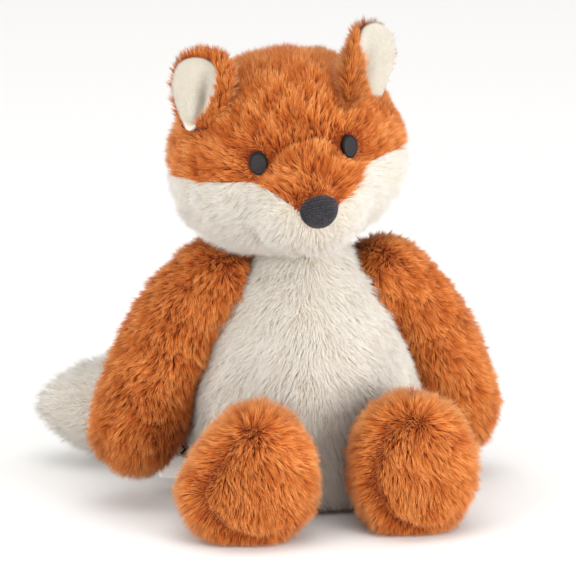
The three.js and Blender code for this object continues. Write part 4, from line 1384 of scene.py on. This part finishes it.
def ribbon(name, middle, thick, material):
    """A sheet round a grid of its middle surface: both faces half a thickness off, and the edges."""
    along, across = np.gradient(middle, axis=0), np.gradient(middle, axis=1)
    lift = unit(np.cross(along, across)) * thick / 2
    points = np.concatenate([(middle + lift).reshape(-1, 3), (middle - lift).reshape(-1, 3)])
    rows, columns = middle.shape[:2]
    index = np.arange(rows * columns).reshape(rows, columns)
    quads = np.stack([index[:-1, :-1], index[1:, :-1], index[1:, 1:], index[:-1, 1:]], -1).reshape(-1, 4)
    rim = np.concatenate([index[0], index[1:, -1], index[-1, -2::-1], index[-2:0:-1, 0]])
    nxt = np.roll(rim, -1)
    half = rows * columns
    faces = np.concatenate([quads, quads[:, ::-1] + half, np.stack([rim, nxt, nxt + half, rim + half], -1)])
    mesh = bpy.data.meshes.new(name)
    mesh.from_pydata(points.tolist(), [], faces.tolist())
    mesh.polygons.foreach_set("use_smooth", np.ones(len(faces), bool))
    mesh.materials.append(material)
    return mesh


LABEL_OUT, LABEL_HIGH, LABEL_FOLD, LABEL_THICK, LABEL_CURL = mm(17.5, 13, 0.9, 0.25, 1.3)
LABEL_ROOT, LABEL_FOOT = -58.5 * MM, 6.5 * MM
LABEL_LEAN, LABEL_LEAN_MORE = 8, 5
label_length = 2 * LABEL_OUT + np.pi * LABEL_FOLD
satin = thread_cloth("satin_ribbon", 900.0, [(0.3, "#f6f3ea"), (0.7, "#fffefa")], 0.3, 0.2)
s, t = np.meshgrid(np.linspace(0, 1, 45), np.linspace(0, 1, 14), indexing="ij")
run = s * label_length
bend = np.clip((run - LABEL_OUT) / LABEL_FOLD, 0, np.pi)
back_run = np.maximum(run - LABEL_OUT - np.pi * LABEL_FOLD, 0)
out = np.minimum(run, LABEL_OUT) + LABEL_FOLD * np.sin(bend) - back_run
share = out / LABEL_OUT
curl = LABEL_CURL * np.sin(2.4 * share + 1.8 * t)
behind = (LABEL_LEAN + LABEL_LEAN_MORE * t) * MM * share
middle = np.stack([LABEL_ROOT - out, SEAM_BACK - LABEL_FOLD * np.cos(bend) + curl * share + behind,
                   LABEL_FOOT + LABEL_HIGH * t], -1)
mesh = ribbon("care_label", middle, LABEL_THICK, satin)
label = add_piece("care_label_ribbon", mesh, "torso", "care_label")
print("label cut", LABEL_HIGH, "by", label_length)

# %% [markdown]
# The tie is a short end of black cord in a small knot: two loops and two falling ends, each a round
# tube along a path, and a ball for the knot. Curves with a round bevel would do as well; here the
# tubes and the ball join in one mesh. The tie is far too short to be a free cord.

# %% Tie
TIE_RADIUS, KNOT_RADIUS = 0.7 * MM, 1.5 * MM
LOOP_OUT, LOOP_FORWARD, LOOP_HIGH = 3, 1.4, 1.6


def tube(path, radius, sides=9):
    """Rings round a path, each across the path's own direction there."""
    way = unit(np.gradient(path, axis=0))
    side_a = unit(np.cross(way, np.array([0.3, 1, 0.2])))
    side_b = np.cross(way, side_a)
    angle = np.arange(sides) / sides * 2 * np.pi
    ring = side_a[:, None] * np.cos(angle)[:, None] + side_b[:, None] * np.sin(angle)[:, None]
    return path[:, None] + radius * ring


strands = []
bow = np.linspace(0, 2 * np.pi, 25)[:-1]
fall = np.linspace(0, 1, 12)[:, None]
for side in SIDES.values():
    swell = np.sin(bow / 2)**2
    loop_up = LOOP_HIGH * np.sin(bow) + LOOP_HIGH * swell
    loop = np.stack([side * LOOP_OUT * swell, -LOOP_FORWARD * swell, loop_up], -1)
    strands.append(tube(TIE_PLACE + loop * MM, TIE_RADIUS))
    end = mm(side * 3.4, -2, -4)
    strands.append(tube(TIE_PLACE + fall * end + mm(0, -0.8, 0) * np.sin(fall * np.pi), TIE_RADIUS))
lean = np.linspace(0.08, 0.92, 9)[:, None] * np.pi
angle = np.arange(14) / 14 * 2 * np.pi
knot = np.stack([np.sin(lean) * np.cos(angle), np.sin(lean) * np.sin(angle), np.cos(lean) + 0 * angle], -1)
strands.append(TIE_PLACE + knot * KNOT_RADIUS)
cord = thread_cloth("tie_cord", 1500.0, [(0.3, "#0d0c0d"), (0.7, "#262426")], 0.5)
add_piece("tag_tie_cord", closed_mesh("tag_tie", strands, cord, 0.5), "torso", "tag_tie")
print("tie of", len(strands), "strands")
